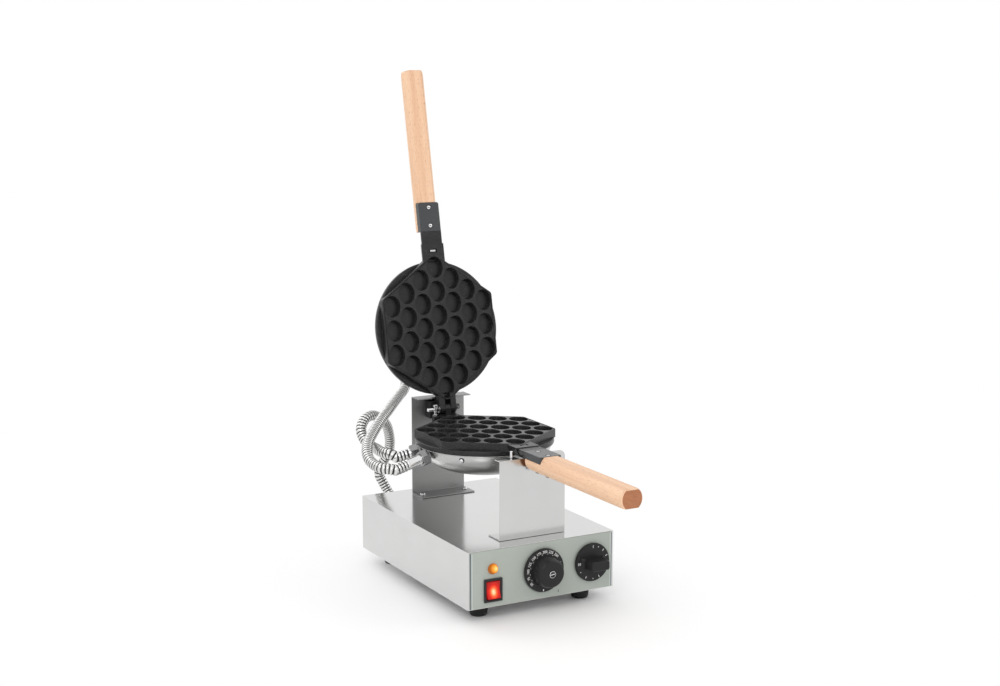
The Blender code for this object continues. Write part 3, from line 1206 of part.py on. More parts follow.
def wiring_parts(parent, materials):
    width, depth, height = TERMINAL_SIZE
    low = FOOT_HEIGHT + BASE_SHEET + FIT
    make_object("terminal_block", block((-width / 2, TERMINAL_CENTRE_Y - depth / 2, low),
                                        (width / 2, TERMINAL_CENTRE_Y + depth / 2, low + height)),
                materials["ceramic"], parent)
    stub, hexed = circle(MAINS_GLAND_STUB_RADIUS, 12), hexagon(MAINS_GLAND_FLATS)
    tip, bore = circle(MAINS_GLAND_DOME_RADIUS, 12), circle(MAINS_GLAND_BORE_RADIUS, 12)
    nut_end = FIT + MAINS_GLAND_NUT_LENGTH
    tip_end = nut_end + MAINS_GLAND_DOME_LENGTH
    levels = [(stub, -GLAND_STUB_LENGTH), (stub, FIT), (hexed, FIT), (hexed, nut_end),
              (circle(MAINS_GLAND_FLATS / 2, 12), nut_end), (tip, tip_end), (bore, tip_end),
              (bore, -GLAND_STUB_LENGTH)]
    body = aim(stack(levels, closed=True), (MAINS_GLAND_X, BASE_REAR, MAINS_GLAND_HEIGHT), (0, 1, 0))
    make_object("mains_cord_gland", body, materials["plastic"], parent)


def base_gland(parent, steel):
    """The feed conduit's gland on the rear wall. Returns its exit and direction."""
    body, reach = gland_body(GLAND_COLLAR_RADIUS, GLAND_COLLAR_LENGTH)
    seat = Vector((BASE_GLAND_X, BASE_REAR, BASE_GLAND_HEIGHT))
    direction = Vector((0, 1, 0))
    make_object("base_conduit_gland", aim(body, seat, direction), steel, parent)
    return seat + direction * (reach + FIT), direction


def make_materials():
    looks = {
        "steel": ((0.62, 0.62, 0.61), 0.25, 1.0),
        "chrome": ((0.80, 0.80, 0.80), 0.12, 1.0),
        "dark_steel": ((0.20, 0.20, 0.20), 0.45, 1.0),
        "nonstick": ((0.035, 0.035, 0.036), 0.55, 0.0),
        "iron": ((0.03, 0.03, 0.03), 0.5, 0.0),
        "overlay": ((0.38, 0.42, 0.39), 0.4, 0.0),
        "plastic": ((0.03, 0.03, 0.032), 0.4, 0.0),
        "knob": ((0.035, 0.035, 0.037), 0.45, 0.0),
        "rubber": ((0.02, 0.02, 0.02), 0.8, 0.0),
        "wood": ((0.78, 0.52, 0.32), 0.55, 0.0),
        "fibre": ((0.75, 0.72, 0.66), 0.9, 0.0),
        "ceramic": ((0.72, 0.70, 0.64), 0.6, 0.0),
        "red": ((0.75, 0.02, 0.01), 0.25, 0.0),
        "amber": ((0.85, 0.38, 0.02), 0.2, 0.0),
    }
    return {name: make_material(name, *values) for name, values in looks.items()}


def build():
    clear_scene()
    materials = make_materials()
    machine = make_empty("machine", location=(0, ORIGIN_SHIFT, 0))
    pan_axis = make_empty("pan_axis", machine, (0, 0, AXIS_HEIGHT))
    lid_axis = make_empty("lid_axis", pan_axis, (0, HINGE_SETBACK, HINGE_RISE), -LID_OPEN)
    lid_frame = make_empty("lid_frame", lid_axis, (0, -HINGE_SETBACK, -HINGE_RISE))
    lower = {"name": "lower", "parent": pan_axis, "mirrored": True, "materials": materials}
    upper = {"name": "upper", "parent": lid_frame, "mirrored": False, "materials": materials}

    base_shell(machine, materials["steel"])
    bottom_plate(machine, materials["steel"])
    front_panel(machine, materials["overlay"])
    feet(machine, materials["rubber"])
    rear_bracket(machine, materials["steel"])
    front_bracket(machine, materials["steel"])
    bracket_screws(machine, materials["chrome"])
    bearing_block(machine, materials["iron"], materials["chrome"])
    thermostat(machine, materials)
    timer(machine, materials)
    power_switch(machine, materials)
    lamp(machine, materials)
    wiring_parts(machine, materials)

    lower_casting(lower)
    upper_casting(upper)
    bowls, pads = {}, {}
    for pan in (lower, upper):
        bowls[pan["name"]] = bowl(pan)
        bowl_screws(pan)
        element(pan)
        pads[pan["name"]] = insulation(pan)
        handle(pan)
        handle_bolts(pan)
    probe(lower)
    hinge_bolt(pan_axis, materials["chrome"])
    rear_pivot(pan_axis, materials["chrome"])

    steel = materials["steel"]
    collar = (GLAND_COLLAR_RADIUS, GLAND_COLLAR_LENGTH)
    sleeve = (GLAND_SLEEVE_RADIUS, GLAND_SLEEVE_LENGTH)
    seat, direction = seat_on_circle(LINK_GLAND_ANGLE, GLAND_WALL_RADIUS, LINK_GLAND_LEVEL, GLAND_LEAN)
    gland = add_gland("lower_link_gland", bowls["lower"], seat, direction, sleeve, lower, steel)
    link_start = to_table_lower(*gland)
    seat, direction = seat_on_circle(FEED_GLAND_ANGLE, GLAND_WALL_RADIUS, FEED_GLAND_LEVEL, GLAND_LEAN)
    gland = add_gland("lower_feed_gland", bowls["lower"], seat, direction, collar, lower, steel)
    feed_end = to_table_lower(*gland)
    seat, direction = Vector((LID_GLAND_X, LID_GLAND_Y, BOWL_BOTTOM)), Vector((0, 0, 1))
    gland = add_gland("upper_link_gland", bowls["upper"], seat, direction, collar, upper, steel)
    link_end = to_table_upper(*gland)
    room = pin(GLAND_STUB_RADIUS + RUNNING_FIT, -OVERRUN - INSULATION_THICKNESS, OVERRUN)
    cut(pads["upper"], "gland_room", aim(room, seat, direction))
    feed_start = base_gland(machine, steel)
    conduit("link_conduit", *link_start, LINK_ROUTE, *link_end, machine, steel)
    conduit("feed_conduit", *feed_start, FEED_ROUTE, *feed_end, machine, steel)


build()
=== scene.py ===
"""The look of the rotating bubble waffle maker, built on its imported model.

Metres, +Z up, front towards -Y. A pan's pieces are drawn in the pan's own frame: X across, Y to the
rear from the plates' centre, and N away from the parting plane. The lower pan mirrors N. A shape is an
array of points with a list of face arrays, each row of which numbers the corners of one face.
"""

import json

import bmesh
import bpy
import numpy as np
from math import asin, atan2, cos, pi, radians, sin, sqrt
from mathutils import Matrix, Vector
from mathutils.geometry import delaunay_2d_cdt

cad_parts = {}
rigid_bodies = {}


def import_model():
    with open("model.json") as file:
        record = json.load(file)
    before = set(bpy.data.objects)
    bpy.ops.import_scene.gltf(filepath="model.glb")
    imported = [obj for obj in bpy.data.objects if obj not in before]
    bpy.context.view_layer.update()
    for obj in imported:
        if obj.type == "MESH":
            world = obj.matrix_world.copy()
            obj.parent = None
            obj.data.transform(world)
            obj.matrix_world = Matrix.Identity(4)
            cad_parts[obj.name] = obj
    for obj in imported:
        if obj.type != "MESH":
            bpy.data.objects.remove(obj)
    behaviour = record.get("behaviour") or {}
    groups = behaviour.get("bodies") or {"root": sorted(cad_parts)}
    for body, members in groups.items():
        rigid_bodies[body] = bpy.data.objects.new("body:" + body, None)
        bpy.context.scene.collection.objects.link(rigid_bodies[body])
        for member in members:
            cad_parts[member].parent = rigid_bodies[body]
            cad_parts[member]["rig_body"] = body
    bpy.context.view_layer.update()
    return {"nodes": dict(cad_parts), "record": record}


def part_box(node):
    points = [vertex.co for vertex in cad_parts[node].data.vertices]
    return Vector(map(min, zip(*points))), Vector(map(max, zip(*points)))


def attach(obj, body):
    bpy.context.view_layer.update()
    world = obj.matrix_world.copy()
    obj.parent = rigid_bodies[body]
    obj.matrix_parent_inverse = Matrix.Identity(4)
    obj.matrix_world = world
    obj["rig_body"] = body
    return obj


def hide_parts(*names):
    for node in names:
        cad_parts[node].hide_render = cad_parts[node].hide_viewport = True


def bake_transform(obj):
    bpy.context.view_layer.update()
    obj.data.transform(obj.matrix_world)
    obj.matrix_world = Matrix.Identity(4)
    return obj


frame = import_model()
NODES = frame["nodes"]

# Camera, in the model's frame
CAMERA_PLACE = (-1.1352, -2.0454, 0.7611)
CAMERA_YAW = radians(28.718)
CAMERA_PITCH = radians(9.605)
CAMERA_LENS = 60.9
CAMERA_SENSOR = 36.0

# Sizes shared with the solids
AXIS_HEIGHT = 0.2284
HINGE_SETBACK = 0.1225
HINGE_RISE = 0.008
LID_OPEN = radians(101.8)
FIT = 0.0003
FACE = 0.0005
COLUMN_SPACING = 0.02555
HALF_ROW = 0.01823
COLUMN_ROWS = {0: 6, 1: 5, 2: 4, 3: 3}
BUBBLE_WIDTH = 0.0262
BUBBLE_LENGTH = 0.0318
BUBBLE_DEPTH = 0.012
PLATE_HALF_WIDTH = 0.0925
PLATE_SIDE_HALF = 0.047
PLATE_CORNER_RADIUS = 0.0075
PLATE_END_RADIUS = 0.012
SKIRT_DEPTH = 0.0127
DISC_START = 0.011
DISC_BACK = 0.0178
NECK_RADIUS = 0.0184
NECK_END = 0.127
NECK_DEPTH = 0.0175
NECK_SLOT_PLACE = 0.1165
NECK_SLOT_WIDTH = 0.013
NECK_SLOT_LENGTH = 0.0055
NECK_SLOT_DEPTH = 0.003
TRUNNION_RADIUS = 0.0172
TRUNNION_END = 0.1466
TANG_HALF = 0.017
TANG_TOP = 0.0018
TANG_BOTTOM = 0.0115
TANG_END = 0.190
TANG_CORNER = 0.003
BOWL_SHEET = 0.0012
BOWL_RIM_RADIUS = 0.1005
BOWL_TOP_RADIUS = 0.0976
BOWL_RIM_LEVEL = 0.0181
BOWL_DEPTH = 0.0415
BOWL_SIDE_POWER = 0.6
BOWL_DEPTH_POWER = 1.2
BOWL_SCREW_LEVEL = 0.026
HANDLE_START = 0.1473
HANDLE_END = 0.392
HANDLE_HALF_WIDTH = 0.0169
HANDLE_FLAT_HALF = 0.0105
HANDLE_TOP = 0.0021
HANDLE_BOTTOM = 0.0273
HANDLE_END_ROUND = 0.008
HANDLE_END_NARROWING = 0.00265
HANDLE_BOLT_PLACES = {"front": 0.1825, "rear": 0.1548}
CONDUIT_RADIUS = 0.0080
CONDUIT_STRAIGHT = 0.016
GLAND_FLATS = 0.0205
GLAND_SEAT = 0.0006
GLAND_NUT_LENGTH = 0.0115
GLAND_WALL_RADIUS = 0.0975
GLAND_LEAN_SHARE = 0.25
GLAND_LEVEL = 0.0285

# The hoses' routes between their straight ends, as in the solids, from the table under the plates' centre
LINK_ROUTE = ((-0.1563, -0.0090, 0.1883), (-0.1647, -0.0005, 0.1886), (-0.1680, 0.0110, 0.1897),
              (-0.1690, 0.0210, 0.1911), (-0.1695, 0.0330, 0.1949), (-0.1666, 0.0460, 0.2008),
              (-0.1596, 0.0610, 0.2064), (-0.1495, 0.0770, 0.2114), (-0.1371, 0.0930, 0.2162),
              (-0.1245, 0.1080, 0.2211), (-0.1115, 0.1220, 0.2264), (-0.0995, 0.1350, 0.2309),
              (-0.0846, 0.1500, 0.2358), (-0.0680, 0.1660, 0.2428), (-0.0512, 0.1820, 0.2494),
              (-0.0350, 0.1960, 0.2571), (-0.0250, 0.2130, 0.2670), (-0.0180, 0.2300, 0.2785),
              (-0.0140, 0.2410, 0.2915), (-0.0125, 0.2435, 0.3045), (-0.0120, 0.2375, 0.3160))
FEED_ROUTE = ((-0.0462, 0.2230, 0.0801), (-0.0492, 0.2325, 0.0893), (-0.0545, 0.2368, 0.1013),
              (-0.0606, 0.2375, 0.1170), (-0.0563, 0.2300, 0.1375), (-0.0523, 0.2210, 0.1512),
              (-0.0538, 0.2120, 0.1656), (-0.0578, 0.2030, 0.1800), (-0.0672, 0.1910, 0.2006),
              (-0.0794, 0.1810, 0.2145), (-0.0946, 0.1700, 0.2243), (-0.1082, 0.1600, 0.2288),
              (-0.1213, 0.1510, 0.2274), (-0.1309, 0.1430, 0.2204), (-0.1356, 0.1360, 0.2130),
              (-0.1363, 0.1280, 0.2053), (-0.1354, 0.1180, 0.1989), (-0.1334, 0.1060, 0.1959),
              (-0.1340, 0.0840, 0.1957), (-0.1365, 0.0660, 0.1960), (-0.1355, 0.0530, 0.1962),
              (-0.1305, 0.0415, 0.1960))
BASE_GLAND = (-0.045, 0.1787, 0.0765)
LID_GLAND = (-0.012, 0.015)
LINK_GLAND_ANGLE = radians(185)
FEED_GLAND_ANGLE = radians(164)


# Placing shapes

UPRIGHT_SHARE = 0.9


def shift(x, y, z):
    made = np.eye(4)
    made[:3, 3] = (x, y, z)
    return made


def turn_about(axis, angle):
    """A turn about X (0), Y (1) or Z (2)."""
    made = np.eye(4)
    first, second = (axis + 1) % 3, (axis + 2) % 3
    made[first, first] = made[second, second] = cos(angle)
    made[first, second], made[second, first] = -sin(angle), sin(angle)
    return made


def facing(origin, direction):
    """Puts a shape drawn about +Z at origin, along direction."""
    out = np.asarray(direction, float) / np.linalg.norm(direction)
    side = np.cross((0, 0, 1) if abs(out[2]) < UPRIGHT_SHARE else (0, 1, 0), out)
    side /= np.linalg.norm(side)
    made = np.eye(4)
    made[:3, 0], made[:3, 1], made[:3, 2], made[:3, 3] = side, np.cross(out, side), out, origin
    return made


low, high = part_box("hinge_bolt")
SHIFT = (low[1] + high[1]) / 2 - HINGE_SETBACK
MACHINE = shift(0, SHIFT, 0)
AXIS = shift(0, SHIFT, AXIS_HEIGHT)
LOWER = AXIS @ np.diag((1.0, 1.0, -1.0, 1.0))
UPPER = (AXIS @ shift(0, HINGE_SETBACK, HINGE_RISE) @ turn_about(0, -LID_OPEN)
         @ shift(0, -HINGE_SETBACK, -HINGE_RISE))
PANS = {"lower": LOWER, "upper": UPPER}


# Node groups

def start_group(name, inputs, outputs):
    """An empty shader group with these sockets, and its two ends."""
    tree = bpy.data.node_groups.new(name, "ShaderNodeTree")
    for side, sockets in (("INPUT", inputs), ("OUTPUT", outputs)):
        for label, form in sockets.items():
            tree.interface.new_socket(name=label, in_out=side, socket_type=f"NodeSocket{form}")
    return tree, tree.nodes.new("NodeGroupInput").outputs, tree.nodes.new("NodeGroupOutput").inputs


def add_node(tree, kind, inputs=None, **settings):
    made = tree.nodes.new(kind)
    for key, value in settings.items():
        setattr(made, key, value)
    for key, value in (inputs or {}).items():
        if isinstance(value, bpy.types.NodeSocket):
            tree.links.new(value, made.inputs[key])
        else:
            made.inputs[key].default_value = value
    return made


def worked(tree, operation, *values, kind="Math", output=0):
    """The result of one sum on these values: Math for numbers, VectorMath for vectors."""
    return add_node(tree, f"ShaderNode{kind}", dict(enumerate(values)), operation=operation).outputs[output]


def ranged(tree, value, ends, results=(0.0, 1.0), **settings):
    """A value's place between two ends, as a value between two results."""
    inputs = {"Value": value, "From Min": ends[0], "From Max": ends[1], "To Min": results[0],
              "To Max": results[1]}
    return add_node(tree, "ShaderNodeMapRange", inputs, **settings).outputs["Result"]


def noise(tree, place, stretch, detail=3.0):
    """Noise with this many features to the metre along each axis of place."""
    sized = worked(tree, "MULTIPLY", place, stretch, kind="VectorMath")
    made = add_node(tree, "ShaderNodeTexNoise", {"Vector": sized, "Scale": 1.0, "Detail": detail})
    return made.outputs["Fac"]


NOISE_SHARES = (0.3, 0.7)


def spread(tree, value, low_value, high_value):
    """Stretches the middle of a noise to run between two values."""
    return ranged(tree, value, NOISE_SHARES, (low_value, high_value))


# Numbers of the Mix node's sockets for two colours and for its colour result
MIX_FIRST = 6
MIX_SECOND = 7
MIX_RESULT = 2


def mixed(tree, share, first, second):
    inputs = {0: share, MIX_FIRST: first, MIX_SECOND: second}
    return add_node(tree, "ShaderNodeMix", inputs, data_type="RGBA").outputs[MIX_RESULT]


PATCH_STRETCH = (14, 14, 14)


def skin_group():
    """Fine skin: a stretched grain and broad patches set colour and gloss, and the grain the height."""
    tree, given, wanted = start_group(
        "fine_skin",
        {"Place": "Vector", "Stretch": "Vector", "Dark": "Color", "Light": "Color",
         "Least Roughness": "Float", "Most Roughness": "Float"},
        {"Colour": "Color", "Roughness": "Float", "Height": "Float"})
    grain = noise(tree, given["Place"], given["Stretch"])
    patches = noise(tree, given["Place"], PATCH_STRETCH, 2.0)
    half = worked(tree, "MULTIPLY", worked(tree, "ADD", grain, patches), 0.5)
    share = spread(tree, half, 0.0, 1.0)
    tree.links.new(mixed(tree, share, given["Dark"], given["Light"]), wanted["Colour"])
    gloss = spread(tree, half, given["Least Roughness"], given["Most Roughness"])
    tree.links.new(gloss, wanted["Roughness"])
    tree.links.new(grain, wanted["Height"])
    return tree


FIBRE_SHARE = 0.45
GRAIN_SHARES = (0.50, 0.92)
FLECK_SHARES = (0.24, 0.36)
WOOD_ROUGHNESS = (0.42, 0.56)


def wood_group():
    """Wood: broad bands, fine fibres and short dark flecks, each a noise stretched along the grain."""
    tree, given, wanted = start_group(
        "wood_grain",
        {"Place": "Vector", "Bands": "Vector", "Fibres": "Vector", "Flecks": "Vector", "Dark": "Color",
         "Light": "Color", "Fleck Colour": "Color"},
        {"Colour": "Color", "Roughness": "Float", "Height": "Float"})
    bands = noise(tree, given["Place"], given["Bands"], 4.0)
    fibres = noise(tree, given["Place"], given["Fibres"], 2.0)
    flecks = noise(tree, given["Place"], given["Flecks"], 0.0)
    share = ranged(tree, worked(tree, "MULTIPLY_ADD", fibres, FIBRE_SHARE, bands), GRAIN_SHARES)
    plain = mixed(tree, share, given["Dark"], given["Light"])
    bare = ranged(tree, flecks, FLECK_SHARES)
    tree.links.new(mixed(tree, bare, given["Fleck Colour"], plain), wanted["Colour"])
    tree.links.new(spread(tree, fibres, *WOOD_ROUGHNESS), wanted["Roughness"])
    tree.links.new(fibres, wanted["Height"])
    return tree


def glow_group():
    """How far a point lies from a lamp behind a lens, in shares of the lens's reach along each axis."""
    tree, given, wanted = start_group(
        "lamp_behind", {"Place": "Vector", "Centre": "Vector", "Reach": "Vector"}, {"Distance": "Float"})
    away = worked(tree, "SUBTRACT", given["Place"], given["Centre"], kind="VectorMath")
    shares = worked(tree, "DIVIDE", away, given["Reach"], kind="VectorMath")
    tree.links.new(worked(tree, "LENGTH", shares, kind="VectorMath", output="Value"), wanted["Distance"])
    return tree


FINE_SKIN = skin_group()
WOOD_GRAIN = wood_group()
LAMP_BEHIND = glow_group()


# Materials

def start_material(name, colour, metallic, roughness):
    made = bpy.data.materials.new(name)
    made.use_nodes = True
    made.diffuse_color = (*colour, 1)
    shader = made.node_tree.nodes["Principled BSDF"]
    shader.inputs["Base Color"].default_value = (*colour, 1)
    shader.inputs["Metallic"].default_value = metallic
    shader.inputs["Roughness"].default_value = roughness
    return made, made.node_tree, shader


def own_place(tree, follows):
    """The point as drawn, kept as the piece's attribute, or in the object's coordinates."""
    if follows:
        return add_node(tree, "ShaderNodeAttribute", attribute_name="drawn").outputs["Vector"]
    return add_node(tree, "ShaderNodeTexCoord").outputs["Object"]


def bump(tree, shader, height, strength, distance):
    made = add_node(tree, "ShaderNodeBump", {"Height": height, "Strength": strength, "Distance": distance})
    tree.links.new(made.outputs["Normal"], shader.inputs["Normal"])


def tinted(colour, factor):
    return tuple(min(1.0, part * factor) for part in colour) + (1.0,)


PLAIN_SPECULAR = 0.5
SKIN_DEPTH = 0.0001
COARSE_DEPTH = 0.0002
FIBRE_DEPTH = 0.0004


def finish(name, colour, metallic, roughness, stretch, swing, gloss_swing, relief, depth=SKIN_DEPTH,
           follows=False, specular=PLAIN_SPECULAR):
    """A surface with a fine skin, from colour less a swing to colour plus a swing."""
    made, tree, shader = start_material(name, colour, metallic, roughness)
    shader.inputs["Specular IOR Level"].default_value = specular
    skin = add_node(tree, "ShaderNodeGroup", node_tree=FINE_SKIN)
    tree.links.new(own_place(tree, follows), skin.inputs["Place"])
    skin.inputs["Stretch"].default_value = stretch
    skin.inputs["Dark"].default_value = tinted(colour, 1 - swing)
    skin.inputs["Light"].default_value = tinted(colour, 1 + swing)
    skin.inputs["Least Roughness"].default_value = roughness - gloss_swing
    skin.inputs["Most Roughness"].default_value = roughness + gloss_swing
    tree.links.new(skin.outputs["Colour"], shader.inputs["Base Color"])
    tree.links.new(skin.outputs["Roughness"], shader.inputs["Roughness"])
    bump(tree, shader, skin.outputs["Height"], relief, depth)
    return made


def before_colour(made):
    """A material's tree, its colour socket and what is linked there now."""
    target = made.node_tree.nodes["Principled BSDF"].inputs["Base Color"]
    return made.node_tree, target, target.links[0].from_socket


def add_mask(made, attribute, colour):
    """Turns a material's colour to another where the piece's own mask is one; here the masks paint shade into
    the hose's grooves and along the handle's far top edge, and darken the handle's tip.
    """
    tree, target, before = before_colour(made)
    mask = add_node(tree, "ShaderNodeAttribute", attribute_name=attribute)
    tree.links.new(mixed(tree, mask.outputs["Fac"], before, (*colour, 1)), target)
    return made


COAT_COLOUR = (0.013, 0.013, 0.0135)
COAT_STRETCH = (900, 900, 900)
SPECK_COLOUR = (0.14, 0.14, 0.14, 1)
SPECK_STRETCH = (1700, 1700, 1700)
SPECK_SHARES = (0.64, 0.72)
ARRIS_SHADE_COLOUR = (0.26, 0.12, 0.06)
# Colour of the painted shade along the handle's far top edge, also laid on its tip
WOOD_RELIEF = 0.2
LENS_STRETCH = (600, 600, 600)
LENS_COAT = 0.05


def nonstick_finish():
    """Cast aluminium under a black non-stick coat: a fine pebbled skin with small bright specks."""
    made = finish("nonstick", COAT_COLOUR, metallic=0.0, roughness=0.30, stretch=COAT_STRETCH, swing=0.2,
                  gloss_swing=0.06, relief=0.30, depth=COARSE_DEPTH, specular=0.32)
    tree, target, before = before_colour(made)
    specks = ranged(tree, noise(tree, own_place(tree, False), SPECK_STRETCH, 1.0), SPECK_SHARES)
    tree.links.new(mixed(tree, specks, before, SPECK_COLOUR), target)
    return made


def wood_finish(name, dark, light, fleck, bands, fibres, flecks):
    """Light beech with a thin clear finish, with painted shade along the handle's far top edge and a darker
    tip.
    """
    made, tree, shader = start_material(name, light, 0.0, 0.5)
    wood = add_node(tree, "ShaderNodeGroup", node_tree=WOOD_GRAIN)
    tree.links.new(own_place(tree, True), wood.inputs["Place"])
    for label, value in (("Bands", bands), ("Fibres", fibres), ("Flecks", flecks), ("Dark", (*dark, 1)),
                         ("Light", (*light, 1)), ("Fleck Colour", (*fleck, 1))):
        wood.inputs[label].default_value = value
    tree.links.new(wood.outputs["Colour"], shader.inputs["Base Color"])
    tree.links.new(wood.outputs["Roughness"], shader.inputs["Roughness"])
    bump(tree, shader, wood.outputs["Height"], WOOD_RELIEF, SKIN_DEPTH)
    return add_mask(made, "arris_shade", ARRIS_SHADE_COLOUR)


def lit_finish(name, colour, centre, reach, stops, strength):
    """A lens lit from behind: brightest over its lamp and fading outwards."""
    made = finish(name, colour, metallic=0.0, roughness=0.22, stretch=LENS_STRETCH, swing=0.05,
                  gloss_swing=0.03, relief=0.05, specular=0.25)
    tree = made.node_tree
    shader = tree.nodes["Principled BSDF"]
    shader.inputs["Coat Weight"].default_value = LENS_COAT
    shader.inputs["Emission Strength"].default_value = strength
    glow = add_node(tree, "ShaderNodeGroup", {"Centre": centre, "Reach": reach}, node_tree=LAMP_BEHIND)
    tree.links.new(own_place(tree, False), glow.inputs["Place"])
    ramp = add_node(tree, "ShaderNodeValToRGB", {"Fac": glow.outputs["Distance"]})
    points = ramp.color_ramp.elements
    while len(points) < len(stops):
        points.new(0.5)
    for point, (place, shade) in zip(points, stops):
        point.position = place
        point.color = (*shade, 1)
    tree.links.new(ramp.outputs["Color"], shader.inputs["Emission Color"])
    return made


# A finish has a name, colour, metallic, roughness, grains to the metre, colour and gloss swings, and relief
LOOKS = {
    "steel": finish("sheet_steel", (0.62, 0.62, 0.615), 1.0, 0.20, (30, 900, 30), 0.03, 0.04, 0.05),
    "base_steel": finish("base_steel", (0.66, 0.66, 0.655), 1.0, 0.15, (900, 26, 60), 0.03, 0.04, 0.05),
    # The rear bracket is the front bracket's sheet steel, rougher, and darker as painted shade under the pans
    "rear_steel": finish("rear_bracket_rough_steel_with_painted_shade", (0.36, 0.36, 0.357), 1.0, 0.42, (30, 900, 900), 0.05, 0.05,
                         0.06),
    "bowl_steel": finish("spun_steel", (0.53, 0.53, 0.525), 1.0, 0.30, (60, 60, 1100), 0.05, 0.05, 0.06,
                         follows=True),
    "chrome": finish("chrome", (0.78, 0.78, 0.78), 1.0, 0.10, (300, 300, 300), 0.02, 0.03, 0.02),
    # The acorn nuts are chrome, made darker as painted shade for the dark sides they show
    "acorn": finish("acorn_nut_chrome_with_painted_shade", (0.30, 0.30, 0.30), 1.0, 0.14, (300, 300, 300), 0.05, 0.03, 0.03),
    "gland_nut": finish("gland_nut", (0.30, 0.30, 0.30), 1.0, 0.24, (300, 300, 300), 0.08, 0.04, 0.05),
    # The hose's groove mask paints shade, near black, into the grooves between its ribs
    "hose": add_mask(finish("bright_hose", (0.74, 0.74, 0.73), 1.0, 0.24, (500, 500, 500), 0.05, 0.05, 0.04),
                     "groove", (0.06, 0.06, 0.058)),
    "nonstick": nonstick_finish(),
    "tang": finish("smooth_coat", (0.050, 0.052, 0.055), 0.0, 0.24, (500, 120, 500), 0.10, 0.06, 0.10,
                   specular=0.4),
    "iron": finish("black_iron", (0.016, 0.016, 0.017), 0.0, 0.45, (700, 700, 700), 0.15, 0.08, 0.30,
                   COARSE_DEPTH, specular=0.3),
    "overlay": finish("panel_overlay", (0.400, 0.440, 0.398), 0.0, 0.36, (450, 450, 450), 0.025, 0.04,
                      0.04),
    "panel_edge": finish("panel_edge", (0.075, 0.115, 0.135), 0.0, 0.30, (300, 300, 300), 0.05, 0.04, 0.04),
    "panel_rim": finish("panel_rim", (0.60, 0.63, 0.60), 0.0, 0.30, (300, 300, 300), 0.03, 0.04, 0.04),
    "plastic": finish("black_plastic", (0.018, 0.018, 0.019), 0.0, 0.34, (800, 800, 800), 0.10, 0.06, 0.10,
                      specular=0.3),
    "knob": finish("knob_plastic", (0.015, 0.015, 0.016), 0.0, 0.33, (900, 900, 900), 0.10, 0.06, 0.12,
                   specular=0.25),
    "print": finish("white_print", (0.80, 0.80, 0.78), 0.0, 0.55, (900, 900, 900), 0.04, 0.04, 0.05),
    "grey_print": finish("grey_print", (0.25, 0.25, 0.25), 0.0, 0.55, (900, 900, 900), 0.04, 0.04, 0.05),
    "dark_print": finish("dark_print", (0.05, 0.06, 0.07), 0.0, 0.55, (900, 900, 900), 0.04, 0.04, 0.05),
    "rubber": finish("rubber", (0.014, 0.014, 0.014), 0.0, 0.60, (500, 500, 500), 0.15, 0.08, 0.25,
                     COARSE_DEPTH, specular=0.3),
    "wood": wood_finish("beech", (0.76, 0.45, 0.275), (0.89, 0.60, 0.40), (0.66, 0.38, 0.23), (95, 4.5, 150),
                        (1300, 28, 1300), (1500, 160, 1500)),
    "wood_end": wood_finish("beech_end_grain", (0.47, 0.155, 0.055), (0.58, 0.215, 0.085), (0.38, 0.13, 0.05),
                            (130, 130, 260), (900, 900, 900), (700, 700, 700)),
    "dark_steel": finish("heater_sheath", (0.22, 0.21, 0.20), 1.0, 0.45, (400, 400, 400), 0.12, 0.08, 0.10),
    "fibre": finish("fibre_pad", (0.75, 0.72, 0.66), 0.0, 0.9, (700, 700, 700), 0.10, 0.05, 0.5,
                    FIBRE_DEPTH),
    "ceramic": finish("ceramic", (0.72, 0.70, 0.64), 0.0, 0.55, (500, 500, 500), 0.05, 0.06, 0.10),
}
for part in frame["record"]["subparts"]:
    node = NODES[part["node"]]
    node.data.materials.clear()
    node.data.materials.append(LOOKS.get(part["material_slot"], LOOKS["plastic"]))


# Shapes

def grid_faces(rows, columns, ring=False):
    """Corner numbers of a grid's quads, closed round each row, and round the rows for a ring."""
    row = np.arange(rows if ring else rows - 1)[:, None]
    column = np.arange(columns)[None, :]
    after = (column + 1) % columns
    above = (row + 1) % rows
    corners = (row * columns + column, row * columns + after, above * columns + after,
               above * columns + column)
    return np.stack(np.broadcast_arrays(*corners), axis=-1).reshape(-1, 4)


def skinned(rings, ring=False, ends=(True, True)):
    """A grid of rings by points, closed round each ring, with a flat face on each end asked for."""
    rings = np.asarray(rings, float)
    rows, columns = rings.shape[:2]
    faces = [grid_faces(rows, columns, ring)]
    if not ring:
        faces += [np.arange(columns)[None, ::-1]] if ends[0] else []
        faces += [(rows - 1) * columns + np.arange(columns)[None, :]] if ends[1] else []
    return rings.reshape(-1, 3), faces


def stacked(outlines, levels, ends=(True, True)):
    """Outlines in X and Y, one for each level along Z; a single outline serves every level."""
    outlines = np.asarray(outlines, float)
    levels = np.asarray(levels, float)
    if outlines.ndim == 2:
        outlines = np.broadcast_to(outlines, (len(levels), *outlines.shape))
    heights = np.broadcast_to(levels[:, None, None], (*outlines.shape[:2], 1))
    return skinned(np.concatenate((outlines, heights), axis=2), ends=ends)


def round_rings(radii, levels, angles):
    """Rings about Z, (r cos t, r sin t, h), with one radius or a row of radii for each level."""
    radii, levels = np.asarray(radii, float), np.asarray(levels, float)
    radii = radii if radii.ndim == 2 else radii[:, None]
    heights = np.broadcast_to(levels[:, None], (len(levels), len(angles)))
    return np.stack((radii * np.cos(angles), radii * np.sin(angles), heights), axis=-1)


def turned(profile, sides, ring=False):
    """A profile of radius and height swept round Z. A zero radius is a pole."""
    radius, height = np.asarray(profile, float).T
    angles = np.arange(sides) * 2 * pi / sides
    return skinned(round_rings(radius, height, angles), ring, (radius[0] > 0, radius[-1] > 0))


